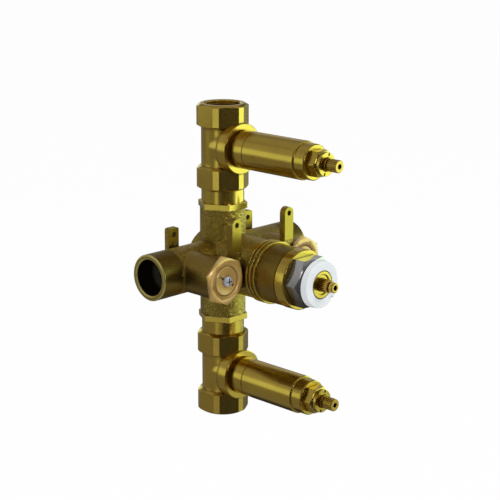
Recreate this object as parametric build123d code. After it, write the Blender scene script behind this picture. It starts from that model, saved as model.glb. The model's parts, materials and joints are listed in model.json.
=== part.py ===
from build123d import *
import math
import os

# Concealed brass mixing valve: a temperature cartridge in the middle, a volume control above and one below.
# Millimetres. +Z is up, the stems point forward along -Y, and +X is to the right seen from the front.
# The origin is where the inlet axis, the outlet axis and the cartridge axis cross.
# Lengths named back and front are distances forward of the vertical outlet axis.

# Fits
thread_clear = 0.05
running_clear = 0.05
sliding_clear = 0.3
loose_clear = 0.2
seat_gap = 0.1

# Layout
control_rise = 76.2
inlet_reach = 65.6
stop_offset = 36.0

# Seals of square section, held in grooves
seal_width = 1.6
seal_depth = 0.95

# Pipe thread that the tees, nipples and stubs share, at its crest
pipe_thread_r = 11.5
pipe_thread_grip = 11.0
mouth_chamfer = 0.7

# Tee of a volume control
tee_half = 27.9
tee_hex_flats = 31.4
tee_corner_flat = 4.2
tee_hex_height = 15.3
tee_rim_r = 14.4
hex_rim_angle = 30.0
tee_waist_r = 14.0
boss_r = 16.5
boss_back = 10.2
boss_front = 18.5
boss_chamfer = 0.5
branch_bore_r = 10.2
seat_floor_depth = 1.8
seat_port_r = 5.8
seat_port_depth = 8.2
tee_inlet_passage_r = 3.6
tee_outlet_passage_r = 4.0
passage_wall = 1.8

# Ceramic discs and their cage
seat_seal_thick = 1.1
fixed_disc_thick = 3.1
moving_disc_thick = 3.2
disc_opening_inner_r = 2.2
disc_opening_outer_r = 5.6
disc_opening_span = 80.0
cage_wall = 1.2
cage_window_width = 10.0
cage_window_length = 5.5
cage_window_lead = 0.9
cage_end_wall = 1.5

# Bonnet barrel of a volume control
bonnet_shoulder = 1.0
bonnet_spigot_wall = 0.95
bonnet_relief_length = 2.2
bonnet_r = 12.35
bonnet_ring_length = 8.1
bonnet_groove = 0.5
bonnet_barrel_length = 43.6
bonnet_nose_r = 11.35
bonnet_nose_length = 8.1
bonnet_chamfer = 0.6

# Gland and retaining ring of a volume control
gland_thread_r = 7.6
gland_shank_length = 11.2
gland_hex_flats = 15.85
gland_hex_length = 6.6
gland_rim_r = 7.5
gland_nose_r = 5.9
gland_nose_length = 0.5
retaining_ring_r = 7.4
retaining_ring_wall = 2.95
retaining_ring_thick = 2.0
retaining_notch_width = 1.25
retaining_notch_depth = 2.0
retaining_notch_tilt = 18.0

# Volume control stem
stem_r = 4.05
stem_shaft_r = 3.0
stem_collar_r = 6.3
stem_collar_thick = 2.5
stem_seal_lead = 2.7
stem_seal_spacing = 4.0
stem_neck_length = 1.8
stem_undercut_r = 3.25
stem_undercut_length = 1.3
stem_hole_r = 1.65
stem_hole_depth = 9.0
stem_tip_chamfer = 0.4
driver_thick = 2.5
driver_width = 5.4
driver_length = 15.0
lug_width = 3.0
lug_length = 2.2
lug_height = 1.4
lug_offset = 6.0

# Spline that every stem ends in
spline_teeth = 20
spline_r = 4.0
spline_depth = 0.4
spline_length = 7.1
spline_tip_share = 0.2
spline_foot_share = 0.35

# Valve body: chamber, outlet stubs and inlets
chamber_r = 19.35
chamber_back = 14.85
chamber_edge = 1.0
chamber_bore_r = 13.5
chamber_back_wall = 3.6
ridge_back = 39.6
ridge_count = 3
ridge_pitch = 3.0
ridge_r = 19.9
body_barrel_r = 19.0
body_front = 63.9
stub_r = 15.0
stub_rise = 35.8
stub_bore_r = 9.5
inlet_r = 15.0
inlet_edge = 0.8
inlet_bore_r = 11.7
inlet_socket_depth = 13.2
inlet_recess_r = 10.4
inlet_waterway_r = 8.6
inlet_waterway_end = 27.0
cold_port_front = 16.5
hot_port_front = 28.0
port_r = 3.8
cast_fillet_r = 1.5

# Stop housings, front ears and rear tabs of the valve body
housing_r = 13.3
housing_front = 37.2
housing_bore_r = 9.9
stop_seat_wall = 2.7
stop_seat_r = 5.8
web_half_height = 8.5
ear_offset = 24.1
ear_width = 8.1
ear_thick = 4.5
ear_setback = 0.3
ear_hole_rise = 33.2
ear_hole_r = 1.7
tab_offset = 34.2
tab_width = 8.7
tab_thick = 4.0
tab_back = 14.4
tab_top = 25.2
tab_hole_rise = 20.7
tab_hole_r = 1.8
tab_corner_r = 1.5

# Nipples between the body and the tees
nipple_hex_flats = 28.8
nipple_hex_height = 3.8
nipple_rim_r = 14.8
nipple_neck_r = 14.0
nipple_bore_r = 8.8

# Temperature cartridge: collar, lock nut and limit ring
collar_thread_r = 16.6
collar_thread_depth = 8.1
collar_relief_r = 18.4
collar_relief_length = 0.9
collar_r = 19.3
collar_length = 7.2
collar_bore_r = 13.1
lock_nut_flats = 30.2
lock_nut_rim_r = 14.3
lock_nut_length = 9.6
lock_nut_boss_r = 13.0
lock_nut_boss_length = 1.6
limit_ring_back_r = 15.3
limit_ring_front_r = 14.8
limit_ring_bore_r = 9.16
limit_ring_length = 4.5
limit_ring_edge = 0.5
limit_notch_width = 3.0
limit_notch_depth = 1.8
limit_notch_angle = -50.0

# Temperature cartridge: head, sleeve and stem
head_nose_r = 8.75
head_flange_length = 8.5
head_recess = 0.9
head_cavity_r = 7.2
head_cavity_lead = 2.0
sleeve_wall = 2.2
sleeve_flange_thick = 2.3
sleeve_back_lead = 0.2
sleeve_seal_lead = 0.6
sleeve_end_wall = 1.5
sleeve_end_hole_r = 5.0
sleeve_drain_r = 1.7
sleeve_drain_offset = 8.0
sleeve_slot_width = 8.0
sleeve_slot_length = 3.2
sleeve_slot_count = 4
guide_back = 40.0
guide_bore_r = 9.0
key_width = 3.0
key_height = 1.4
mixer_stem_r = 4.2
mixer_collar_r = 6.7
mixer_collar_thick = 2.3
mixer_screw_r = 4.5
mixer_screw_length = 14.0
mixer_spline_r = 4.15
mixer_neck_r = 2.8
mixer_neck_length = 1.2
mixer_tip_r = 3.3
mixer_tip_length = 2.7
mixer_hole_r = 1.75

# Temperature cartridge: adjusting nut, element and springs
adjusting_nut_length = 6.0
adjusting_nut_lead = 2.6
element_cap_r = 7.5
element_cap_thick = 2.0
element_cap_lead = 1.0
element_neck_r = 3.5
element_neck_length = 5.0
element_r = 5.0
element_tail_r = 4.2
element_tail_end = 1.0
shuttle_wall = 1.2
shuttle_web_back = 21.0
shuttle_web_thick = 2.0
shuttle_hole_r = 1.7
shuttle_hole_offset = 7.1
shuttle_hole_count = 6
spring_wire = 1.2
overtravel_mean_r = 6.0
overtravel_turns = 4
return_mean_r = 6.6
return_turns = 4

# Service stops
plug_hex_flats = 28.8
plug_hex_thick = 2.6
plug_hex_turn = 6.0
plug_face_r = 13.4
plug_spigot_length = 5.2
plug_recess_depth = 1.3
plug_recess_r = 9.7
spindle_r = 3.6
spindle_collar_r = 5.2
spindle_collar_thick = 1.5
spindle_screw_r = 2.7
stop_disc_slot_length = 14.4
stop_disc_slot_width = 1.4
stop_disc_slot_depth = 0.6
stop_disc_slot_tilt = -32.0
stop_disc_recess = 0.2
stop_disc_edge = 0.7
stop_disc_edge_drop = 0.4
screw_head_r = 3.15
screw_head_height = 2.7
screw_head_edge = 0.9
screw_shank_r = 1.5
screw_shank_length = 7.0
screw_recess_width = 0.9
screw_recess_depth = 1.0
piston_hub_r = 7.4
piston_hub_thick = 2.8
piston_tube_r = 5.0
piston_length = 10.5
piston_floor = 1.5
piston_fin_thick = 1.8
piston_fin_count = 3
piston_fin_length = 7.5
piston_key_height = 1.2
stop_washer_r = 7.0
stop_washer_thick = 1.3
stop_travel = 3.8

# Inlet check valves
check_flange_thick = 1.35
check_wall = 1.5
check_lip_r = 5.0
check_lip_thick = 1.5
check_spider_thick = 1.3
check_spider_arm = 2.4
check_hub_r = 3.0
check_poppet_r = 6.2
check_poppet_thick = 1.7
check_stem_r = 1.4
check_stem_overhang = 1.2
check_cage_length = 8.05
check_spring_mean_r = 4.4
check_spring_wire = 0.7
check_spring_turns = 3

# Volume control, from the seat forward
seat_floor = -seat_floor_depth
fixed_disc_back = seat_floor + seat_seal_thick
moving_disc_back = fixed_disc_back + fixed_disc_thick
driver_back = moving_disc_back + moving_disc_thick
driver_front = driver_back + driver_thick
window_back = driver_back + cage_window_lead
window_front = window_back + cage_window_length
bonnet_back = window_front + cage_end_wall
bonnet_relief_front = boss_front + bonnet_relief_length
bonnet_ring_front = bonnet_relief_front + bonnet_ring_length
bonnet_barrel_front = bonnet_ring_front + bonnet_barrel_length
bonnet_front = bonnet_barrel_front + bonnet_nose_length
gland_back = bonnet_front - gland_shank_length
gland_hex_front = bonnet_front + gland_hex_length
gland_front = gland_hex_front + gland_nose_length
retaining_front = gland_front + retaining_ring_thick
stem_collar_front = gland_back - sliding_clear
stem_collar_back = stem_collar_front - stem_collar_thick
stem_neck_front = retaining_front + stem_neck_length
spline_back = stem_neck_front + stem_undercut_length
stem_front = spline_back + spline_length
cage_r = branch_bore_r - loose_clear
cage_bore_r = cage_r - cage_wall
fixed_disc_r = cage_bore_r - loose_clear
moving_disc_r = cage_bore_r - sliding_clear
bonnet_spigot_r = branch_bore_r - thread_clear
bonnet_bore_r = bonnet_spigot_r - seal_depth - bonnet_spigot_wall
gland_bore_r = stem_r + running_clear
stem_seal_backs = [gland_back + stem_seal_lead + step * stem_seal_spacing for step in range(2)]

# Temperature cartridge, from the seat in the body forward
sleeve_seat = body_front - collar_thread_depth
sleeve_front = sleeve_seat + sleeve_flange_thick
collar_back = body_front + collar_relief_length
collar_front = collar_back + collar_length
head_shoulder = sleeve_front + head_flange_length
lock_nut_front = collar_front + lock_nut_length
lock_nut_boss_front = lock_nut_front + lock_nut_boss_length
limit_ring_front = lock_nut_boss_front + limit_ring_length
head_front = limit_ring_front - head_recess
head_cavity_front = head_shoulder + head_cavity_lead
mixer_collar_front = head_cavity_front - sliding_clear
mixer_collar_back = mixer_collar_front - mixer_collar_thick
mixer_screw_back = mixer_collar_back - mixer_screw_length
mixer_spline_back = head_front + stem_tip_chamfer
mixer_spline_front = mixer_spline_back + spline_length
mixer_tip_back = mixer_spline_front + mixer_neck_length
mixer_front = mixer_tip_back + mixer_tip_length
sleeve_r = chamber_bore_r - sliding_clear
sleeve_bore_r = sleeve_r - sleeve_wall
sleeve_back = stub_bore_r + sleeve_back_lead
sleeve_end_front = sleeve_back + sleeve_end_wall
adjusting_nut_front = sleeve_front - adjusting_nut_lead
adjusting_nut_back = adjusting_nut_front - adjusting_nut_length
element_cap_front = guide_back + element_cap_lead
element_cap_back = element_cap_front - element_cap_thick
element_front = element_cap_back - element_neck_length
element_back = shuttle_web_back + shuttle_web_thick
sleeve_seal_middles = [sleeve_back + sleeve_seal_lead + seal_width / 2, (cold_port_front + hot_port_front) / 2]
sleeve_seal_middles.append(hot_port_front + port_r + sleeve_seal_lead + seal_width / 2)
mixer_seal_backs = [head_cavity_front + stem_seal_lead + step * stem_seal_spacing for step in range(2)]

# Service stop, from the seat forward
stop_seat = inlet_waterway_r + stop_seat_wall
washer_back = stop_seat + stop_travel + seat_gap
piston_back = washer_back + stop_washer_thick
piston_front = piston_back + piston_length
piston_fin_r = housing_bore_r - sliding_clear
plug_back = housing_front - plug_spigot_length
plug_hex_front = housing_front + plug_hex_thick
plug_recess_floor = plug_hex_front - plug_recess_depth
plug_spigot_r = housing_bore_r - thread_clear
plug_seal_back = (plug_back + housing_front - seal_width) / 2
stop_disc_back = plug_recess_floor + seat_gap / 2
stop_disc_front = plug_hex_front - stop_disc_recess
stop_disc_r = plug_recess_r - sliding_clear
spindle_collar_front = plug_back - sliding_clear
spindle_collar_back = spindle_collar_front - spindle_collar_thick
spindle_back = piston_back + piston_floor + sliding_clear

# Inlet, from the mouth inwards
inlet_mouth_floor = inlet_reach - inlet_socket_depth
inlet_shoulder = inlet_mouth_floor - check_flange_thick
check_cage_end = inlet_shoulder - check_cage_length
check_stem_end = check_cage_end - check_stem_overhang
check_cage_r = inlet_waterway_r - loose_clear
check_bore_r = check_cage_r - check_wall
check_lip_end = inlet_mouth_floor - check_lip_thick
check_poppet_front = check_lip_end - seat_gap
check_poppet_back = check_poppet_front - check_poppet_thick
check_spider_front = check_cage_end + check_spider_thick

# Nipple, from the stub outwards
nipple_hex_top = stub_rise + nipple_hex_height
nipple_neck_top = control_rise - tee_half


def rod(radius, back, front, x=0.0, z=0.0):
    """Cylinder along the forward axis."""
    return Pos(x, -(back + front) / 2, z) * Cylinder(radius, front - back, rotation=(90, 0, 0))


def upright(radius, low, high, back=0.0):
    """Cylinder along the vertical axis."""
    return Pos(0, -back, (low + high) / 2) * Cylinder(radius, high - low)


def sideways(radius, left, right, front=0.0):
    """Cylinder along the inlet axis."""
    return Pos((left + right) / 2, -front, 0) * Cylinder(radius, right - left, rotation=(0, 90, 0))


def block(left, right, back, front, low, high):
    """Box between two values on each axis."""
    middle = Pos((left + right) / 2, -(back + front) / 2, (low + high) / 2)
    return middle * Box(right - left, front - back, high - low)


def turned(*outline):
    """Solid turned about the forward axis from (radius, forward) points."""
    points = [(radius, -forward) for radius, forward in outline]
    return revolve(make_face(Polyline(*points, close=True)), axis=Axis.Y)


def turned_upright(*outline):
    """Solid turned about the vertical axis from (radius, height) points."""
    return revolve(Plane.XZ * make_face(Polyline(*outline, close=True)), axis=Axis.Z)


def turned_sideways(*outline):
    """Solid turned about the inlet axis from (distance right, radius) points."""
    return revolve(make_face(Polyline(*outline, close=True)), axis=Axis.X)


def hexagon(flats, back, front, turn=0.0):
    """Hexagonal prism along the forward axis; with no turn, two flats lie level."""
    outline = RegularPolygon(flats / 2, 6, major_radius=False, rotation=turn)
    return extrude(Plane.XZ.offset(back) * outline, amount=front - back)


def upright_hexagon(flats, low, high, turn=0.0):
    """Hexagonal prism along the vertical axis; with no turn, two flats face front and back."""
    outline = RegularPolygon(flats / 2, 6, major_radius=False, rotation=turn)
    return extrude(Plane.XY.offset(low) * outline, amount=high - low)


def rim_drop(rim_r, wide_r):
    """Depth of the turned chamfer that a hexagon's rim gets."""
    return (wide_r - rim_r) * math.tan(math.radians(hex_rim_angle))


def seal_ring(root_r, bore_r, back):
    """Seal of square section between a groove's floor and the bore round it."""
    return rod(bore_r, back, back + seal_width) - rod(root_r, back, back + seal_width)


def seal_groove(shaft_r, back):
    """Groove that a seal ring sits in, to cut from a shaft."""
    outer = rod(shaft_r + seal_depth, back, back + seal_width)
    return outer - rod(shaft_r - seal_depth, back, back + seal_width)


def coil(mean_r, wire, turns, length):
    """Compression spring of square wire with ground ends, along the forward axis from zero."""
    buried = wire / 4
    rise = length - 2 * buried
    path = Helix(pitch=rise / turns, height=rise, radius=mean_r)
    section = Plane(origin=path @ 0, x_dir=(1, 0, 0), z_dir=path % 0) * Rectangle(wire, wire)
    spring = Plane.XZ.offset(buried) * sweep(section, path=path, is_frenet=True)
    return spring & rod(mean_r + 2 * wire, 0, length)


def spline(radius, back, front):
    """Splined end of a stem, with a chamfered tip."""
    step = 2 * math.pi / spline_teeth
    root = radius - spline_depth
    tooth = [
        (-spline_foot_share, root),
        (-spline_tip_share, radius),
        (spline_tip_share, radius),
        (spline_foot_share, root),
    ]
    outline = []
    for number in range(spline_teeth):
        for share, reach in tooth:
            angle = (number + share) * step
            outline.append((reach * math.cos(angle), reach * math.sin(angle)))
    teeth = extrude(Plane.XZ.offset(back) * make_face(Polyline(*outline, close=True)), amount=front - back)
    shoulder = front - stem_tip_chamfer
    envelope = [(0, back), (radius, back), (radius, shoulder), (radius - stem_tip_chamfer, front), (0, front)]
    return teeth & turned(*envelope)


def tee():
    """Volume control tee: two hexagon ends, a waist and a branch boss, with its waterways."""
    waist_half = tee_half - tee_hex_height
    corner_r = tee_hex_flats / math.sqrt(3)
    corner_cut = corner_r - tee_corner_flat / 2 / math.tan(math.radians(60))
    drop = rim_drop(tee_rim_r, corner_r)
    body = upright(tee_waist_r, -waist_half, waist_half)
    body += rod(tee_waist_r, 0, boss_back)
    body += turned(
        (0, boss_back),
        (boss_r, boss_back),
        (boss_r, boss_front - boss_chamfer),
        (boss_r - boss_chamfer, boss_front),
        (0, boss_front),
    )
    for low, high in ((-tee_half, -waist_half), (waist_half, tee_half)):
        end = upright_hexagon(tee_hex_flats, low, high, 90)
        end &= upright_hexagon(2 * corner_cut, low, high, 0)
        end &= turned_upright(
            (0, low),
            (tee_rim_r, low),
            (corner_r, low + drop),
            (corner_r, high - drop),
            (tee_rim_r, high),
            (0, high),
        )
        body += end
    for side in (-1, 1):
        body -= turned_upright(
            (0, side * waist_half),
            (pipe_thread_r, side * waist_half),
            (pipe_thread_r, side * (tee_half - mouth_chamfer)),
            (pipe_thread_r + mouth_chamfer, side * tee_half),
            (0, side * tee_half),
        )
    body -= rod(branch_bore_r, seat_floor, boss_front)
    body -= rod(seat_port_r, seat_floor - seat_port_depth, seat_floor)
    inlet_passage_depth = seat_floor_depth + passage_wall + tee_inlet_passage_r
    body -= upright(tee_inlet_passage_r, -waist_half, 0, -inlet_passage_depth)
    body -= upright(tee_outlet_passage_r, 0, waist_half, (window_back + window_front) / 2 - passage_wall / 2)
    return body


def bonnet():
    """Long turned barrel that screws into the tee and carries the gland."""
    groove_r = bonnet_r - bonnet_groove
    groove_front = bonnet_ring_front + bonnet_groove
    barrel = turned(
        (bonnet_bore_r, bonnet_back),
        (bonnet_spigot_r, bonnet_back),
        (bonnet_spigot_r, boss_front),
        (branch_bore_r + bonnet_shoulder, boss_front),
        (branch_bore_r + bonnet_shoulder, bonnet_relief_front),
        (bonnet_r, bonnet_relief_front),
        (bonnet_r, bonnet_ring_front),
        (groove_r, bonnet_ring_front),
        (groove_r, groove_front),
        (bonnet_r, groove_front),
        (bonnet_r, bonnet_barrel_front - bonnet_chamfer),
        (bonnet_r - bonnet_chamfer, bonnet_barrel_front),
        (bonnet_nose_r, bonnet_barrel_front),
        (bonnet_nose_r, bonnet_front - bonnet_chamfer),
        (bonnet_nose_r - bonnet_chamfer, bonnet_front),
        (gland_thread_r, bonnet_front),
        (gland_thread_r, stem_collar_back - sliding_clear),
        (bonnet_bore_r, stem_collar_back - sliding_clear),
    )
    return barrel - seal_groove(bonnet_spigot_r, bonnet_seal_back())


def bonnet_seal_back():
    """Where the bonnet's seal starts, in the middle of its spigot."""
    return (bonnet_back + boss_front - seal_width) / 2


def bonnet_seal():
    """Seal between the bonnet's spigot and the tee."""
    return seal_ring(bonnet_spigot_r - seal_depth, bonnet_spigot_r, bonnet_seal_back())


def gland():
    """Hexagon gland that screws into the bonnet and carries the stem."""
    shank = rod(gland_thread_r - thread_clear, gland_back, bonnet_front)
    drop = rim_drop(gland_rim_r, gland_hex_flats)
    head = hexagon(gland_hex_flats, bonnet_front, gland_hex_front)
    head &= turned(
        (0, bonnet_front),
        (gland_hex_flats, bonnet_front),
        (gland_hex_flats, gland_hex_front - drop),
        (gland_rim_r, gland_hex_front),
        (0, gland_hex_front),
    )
    nose = rod(gland_nose_r, gland_hex_front, gland_front)
    return shank + head + nose - rod(gland_bore_r, gland_back, gland_front)


def retaining_ring():
    """Ring with two opposite notches, in front of the gland."""
    bore_r = retaining_ring_r - retaining_ring_wall
    ring = rod(retaining_ring_r, gland_front, retaining_front) - rod(bore_r, gland_front, retaining_front)
    half_width = retaining_notch_width / 2
    for turn in (0, 180):
        notch = block(
            -half_width,
            half_width,
            gland_front,
            retaining_front,
            retaining_ring_r - retaining_notch_depth,
            retaining_ring_r + retaining_notch_depth,
        )
        ring -= Rot(0, turn + retaining_notch_tilt, 0) * notch
    return ring


def stem():
    """Volume control stem: driver bar, shaft, thrust collar, sealed journal and splined end."""
    shaft = turned(
        (0, driver_back),
        (stem_shaft_r, driver_back),
        (stem_shaft_r, stem_collar_back),
        (stem_collar_r, stem_collar_back),
        (stem_collar_r, stem_collar_front),
        (stem_r, stem_collar_front),
        (stem_r, stem_neck_front),
        (stem_undercut_r, stem_neck_front),
        (stem_undercut_r, spline_back),
        (0, spline_back),
    )
    half_bar = driver_width / 2
    shaft += block(-half_bar, half_bar, driver_back, driver_front, -driver_length / 2, driver_length / 2)
    for side in (-1, 1):
        shaft += drive_lug(side, 0)
    shaft += spline(spline_r, spline_back, stem_front)
    for back in stem_seal_backs:
        shaft -= seal_groove(stem_r, back)
    return shaft - rod(stem_hole_r, stem_front - stem_hole_depth, stem_front)


def drive_lug(side, clear):
    """Lug of the driver bar that turns the moving disc, or the notch for it."""
    middle = side * lug_offset
    half_width = lug_width / 2 + clear
    half_length = lug_length / 2 + clear
    back = driver_back - lug_height - clear
    return block(-half_width, half_width, back, driver_back, middle - half_length, middle + half_length)


def stem_seals():
    """Two seals in the grooves of the volume control stem."""
    return Compound(children=[seal_ring(stem_r - seal_depth, stem_r, back) for back in stem_seal_backs])


def disc_openings(back, front, turn):
    """Two opposite sectors that the water passes through, to cut from a ceramic disc."""
    ring = rod(disc_opening_outer_r, back, front) - rod(disc_opening_inner_r, back, front)
    reach = 2 * disc_opening_outer_r
    rise = reach * math.tan(math.radians(disc_opening_span / 2))
    bow = Polyline((0, 0), (reach, rise), (reach, -rise), close=True)
    wedge = extrude(Plane.XZ.offset(back) * make_face(bow), amount=front - back)
    wedges = Rot(0, turn, 0) * wedge + Rot(0, turn + 180, 0) * wedge
    return ring & wedges


def fixed_disc():
    """Ceramic disc that stays on the seat."""
    disc = rod(fixed_disc_r, fixed_disc_back, moving_disc_back)
    return disc - disc_openings(fixed_disc_back, moving_disc_back, 90)


def moving_disc():
    """Ceramic disc that the stem turns."""
    disc = rod(moving_disc_r, moving_disc_back, driver_back)
    disc -= disc_openings(moving_disc_back, driver_back, 0)
    for side in (-1, 1):
        disc -= drive_lug(side, seat_gap)
    return disc


def seat_seal():
    """Soft ring under the fixed disc."""
    return rod(fixed_disc_r, seat_floor, fixed_disc_back) - rod(seat_port_r, seat_floor, fixed_disc_back)


def disc_cage():
    """Sleeve round the discs, with a window to the outlet."""
    cage = rod(cage_r, seat_floor, bonnet_back) - rod(cage_bore_r, seat_floor, bonnet_back)
    half_width = cage_window_width / 2
    return cage - block(-half_width, half_width, window_back, window_front, 0, 2 * cage_r)


def ear(side):
    """Front ear: an upright plate with a round top and a screw hole."""
    front = housing_front - ear_setback
    back = front - ear_thick
    middle = side * ear_offset
    plate = block(middle - ear_width / 2, middle + ear_width / 2, back, front, 0, ear_hole_rise)
    plate += rod(ear_width / 2, back, front, middle, ear_hole_rise)
    return plate - rod(ear_hole_r, back, front, middle, ear_hole_rise)


def tab(side):
    """Rear tab: a short upright plate with rounded corners and a screw hole."""
    middle = side * tab_offset
    plate = block(middle - tab_width / 2, middle + tab_width / 2, -tab_back, tab_thick - tab_back, 0, tab_top)
    corners = plate.edges().filter_by(Axis.Y).sort_by(Axis.Z)[-2:]
    plate = fillet(corners, tab_corner_r)
    return plate - rod(tab_hole_r, -tab_back, tab_thick - tab_back, middle, tab_hole_rise)


def chamber_shell():
    """Outside of the mixing chamber, with its ridges and its smooth front barrel."""
    outline = [
        (0, -chamber_back),
        (chamber_r - chamber_edge, -chamber_back),
        (chamber_r, chamber_edge - chamber_back),
        (chamber_r, ridge_back),
    ]
    for number in range(ridge_count):
        start = ridge_back + number * ridge_pitch
        outline.append((body_barrel_r, start))
        outline.append((ridge_r, start + ridge_pitch / 3))
        outline.append((ridge_r, start + 2 * ridge_pitch / 3))
    outline.append((body_barrel_r, ridge_back + ridge_count * ridge_pitch))
    outline.append((body_barrel_r, body_front))
    outline.append((0, body_front))
    return turned(*outline)


def housing_bore(side):
    """Space of a service stop: its bore, its seat and the keyway of its piston."""
    middle = side * stop_offset
    bore = rod(housing_bore_r, stop_seat, housing_front, middle)
    bore += rod(stop_seat_r, 0, stop_seat, middle)
    key_r = piston_fin_r + piston_key_height + sliding_clear
    half_width = piston_fin_thick / 2 + sliding_clear
    reach = sorted((middle, middle + side * key_r))
    return bore + block(reach[0], reach[1], stop_seat, plug_back, -half_width, half_width)


def inlet_tubes():
    """Outside of both inlets, with chamfered rims."""
    shoulder = inlet_reach - inlet_edge
    return turned_sideways(
        (-inlet_reach, 0),
        (-inlet_reach, inlet_r - inlet_edge),
        (-shoulder, inlet_r),
        (shoulder, inlet_r),
        (inlet_reach, inlet_r - inlet_edge),
        (inlet_reach, 0),
    )


def cast_junctions(casting):
    """Curved edges where the stubs meet the chamber's front half and the stop housings meet the inlets."""
    edges = []
    for edge in casting.edges().filter_by(GeomType.BSPLINE):
        box = edge.bounding_box()
        on_housing = abs(box.center().X) > stub_r
        on_stub = box.size.X > stub_r and box.max.Y < 0
        if on_housing or on_stub:
            edges.append(edge)
    return edges


def valve_body():
    """Casting with the chamber, inlets, outlet stubs, stop housings, ears and tabs."""
    casting = chamber_shell() + inlet_tubes()
    casting += upright(stub_r, -stub_rise, stub_rise)
    for side in (-1, 1):
        casting += rod(housing_r, 0, housing_front, side * stop_offset)
    casting = fillet(cast_junctions(casting), cast_fillet_r)
    for side in (-1, 1):
        middle = side * stop_offset
        web = sorted((0, middle))
        casting += block(web[0], web[1], 0, housing_front - ear_setback, -web_half_height, web_half_height)
        casting += ear(side)
        casting += tab(side)
    casting -= rod(chamber_bore_r, chamber_back_wall - chamber_back, sleeve_seat)
    casting -= rod(collar_thread_r, sleeve_seat, body_front)
    casting -= upright(stub_bore_r, -stub_rise, stub_rise)
    for side in (-1, 1):
        ends = sorted((side * (stub_rise - pipe_thread_grip), side * stub_rise))
        casting -= upright(pipe_thread_r, ends[0], ends[1])
        casting -= housing_bore(side)
        ends = sorted((side * inlet_mouth_floor, side * inlet_reach))
        casting -= sideways(inlet_bore_r, ends[0], ends[1])
        casting -= turned_sideways(
            (side * (inlet_reach - mouth_chamfer), 0),
            (side * (inlet_reach - mouth_chamfer), inlet_bore_r),
            (side * inlet_reach, inlet_bore_r + mouth_chamfer),
            (side * inlet_reach, 0),
        )
        ends = sorted((side * inlet_shoulder, side * inlet_mouth_floor))
        casting -= sideways(inlet_recess_r, ends[0], ends[1])
        ends = sorted((side * inlet_waterway_end, side * inlet_shoulder))
        casting -= sideways(inlet_waterway_r, ends[0], ends[1])
    casting -= sideways(port_r, -stop_offset, 0, hot_port_front)
    casting -= sideways(port_r, 0, stop_offset, cold_port_front)
    return casting


def nipple():
    """Hexagon nipple from a stub up to a tee, drawn for the upper tee."""
    corner_r = nipple_hex_flats / math.sqrt(3)
    drop = rim_drop(nipple_rim_r, corner_r)
    collar = upright_hexagon(nipple_hex_flats, stub_rise, nipple_hex_top)
    collar &= turned_upright(
        (0, stub_rise),
        (nipple_rim_r, stub_rise),
        (corner_r, stub_rise + drop),
        (corner_r, nipple_hex_top - drop),
        (nipple_rim_r, nipple_hex_top),
        (0, nipple_hex_top),
    )
    thread_r = pipe_thread_r - thread_clear
    low = stub_rise - pipe_thread_grip + loose_clear
    high = nipple_neck_top + pipe_thread_grip
    piece = collar + upright(nipple_neck_r, nipple_hex_top, nipple_neck_top)
    piece += upright(thread_r, low, high)
    return piece - upright(nipple_bore_r, low, high)


def front_collar():
    """Brass collar that screws into the body's front and clamps the cartridge sleeve."""
    return turned(
        (collar_bore_r, sleeve_front),
        (collar_thread_r - thread_clear, sleeve_front),
        (collar_thread_r - thread_clear, body_front),
        (collar_relief_r, body_front),
        (collar_relief_r, collar_back),
        (collar_r, collar_back),
        (collar_r, collar_front - boss_chamfer),
        (collar_r - boss_chamfer, collar_front),
        (collar_bore_r, collar_front),
    )


def lock_nut():
    """Chrome hexagon nut that holds the cartridge head in the collar."""
    bore_r = head_nose_r + loose_clear
    drop = rim_drop(lock_nut_rim_r, lock_nut_flats)
    head = hexagon(lock_nut_flats, collar_front, lock_nut_front)
    head &= turned(
        (0, collar_front),
        (lock_nut_flats, collar_front),
        (lock_nut_flats, lock_nut_front - drop),
        (lock_nut_rim_r, lock_nut_front),
        (0, lock_nut_front),
    )
    nut = head + rod(collar_bore_r - thread_clear, head_shoulder, collar_front)
    nut += rod(lock_nut_boss_r, lock_nut_front, lock_nut_boss_front)
    return nut - rod(bore_r, head_shoulder, lock_nut_boss_front)


def limit_ring():
    """White plastic ring round the cartridge nose, with one notch in its front edge."""
    ring = turned(
        (limit_ring_bore_r, lock_nut_boss_front),
        (limit_ring_back_r, lock_nut_boss_front),
        (limit_ring_front_r, limit_ring_front - limit_ring_edge),
        (limit_ring_front_r - limit_ring_edge, limit_ring_front),
        (limit_ring_bore_r, limit_ring_front),
    )
    half_width = limit_notch_width / 2
    reach = limit_ring_back_r + limit_notch_width
    low_r = (limit_ring_bore_r + limit_ring_front_r) / 2
    back = limit_ring_front - limit_notch_depth
    notch = block(low_r, reach, back, limit_ring_front, -half_width, half_width)
    return ring - Rot(0, -limit_notch_angle, 0) * notch


def cartridge_head():
    """Brass nose of the temperature cartridge, which carries the temperature stem."""
    return turned(
        (head_cavity_r, sleeve_front),
        (collar_bore_r - sliding_clear, sleeve_front),
        (collar_bore_r - sliding_clear, head_shoulder),
        (head_nose_r, head_shoulder),
        (head_nose_r, head_front),
        (mixer_stem_r + running_clear, head_front),
        (mixer_stem_r + running_clear, head_cavity_front),
        (head_cavity_r, head_cavity_front),
    )


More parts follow.
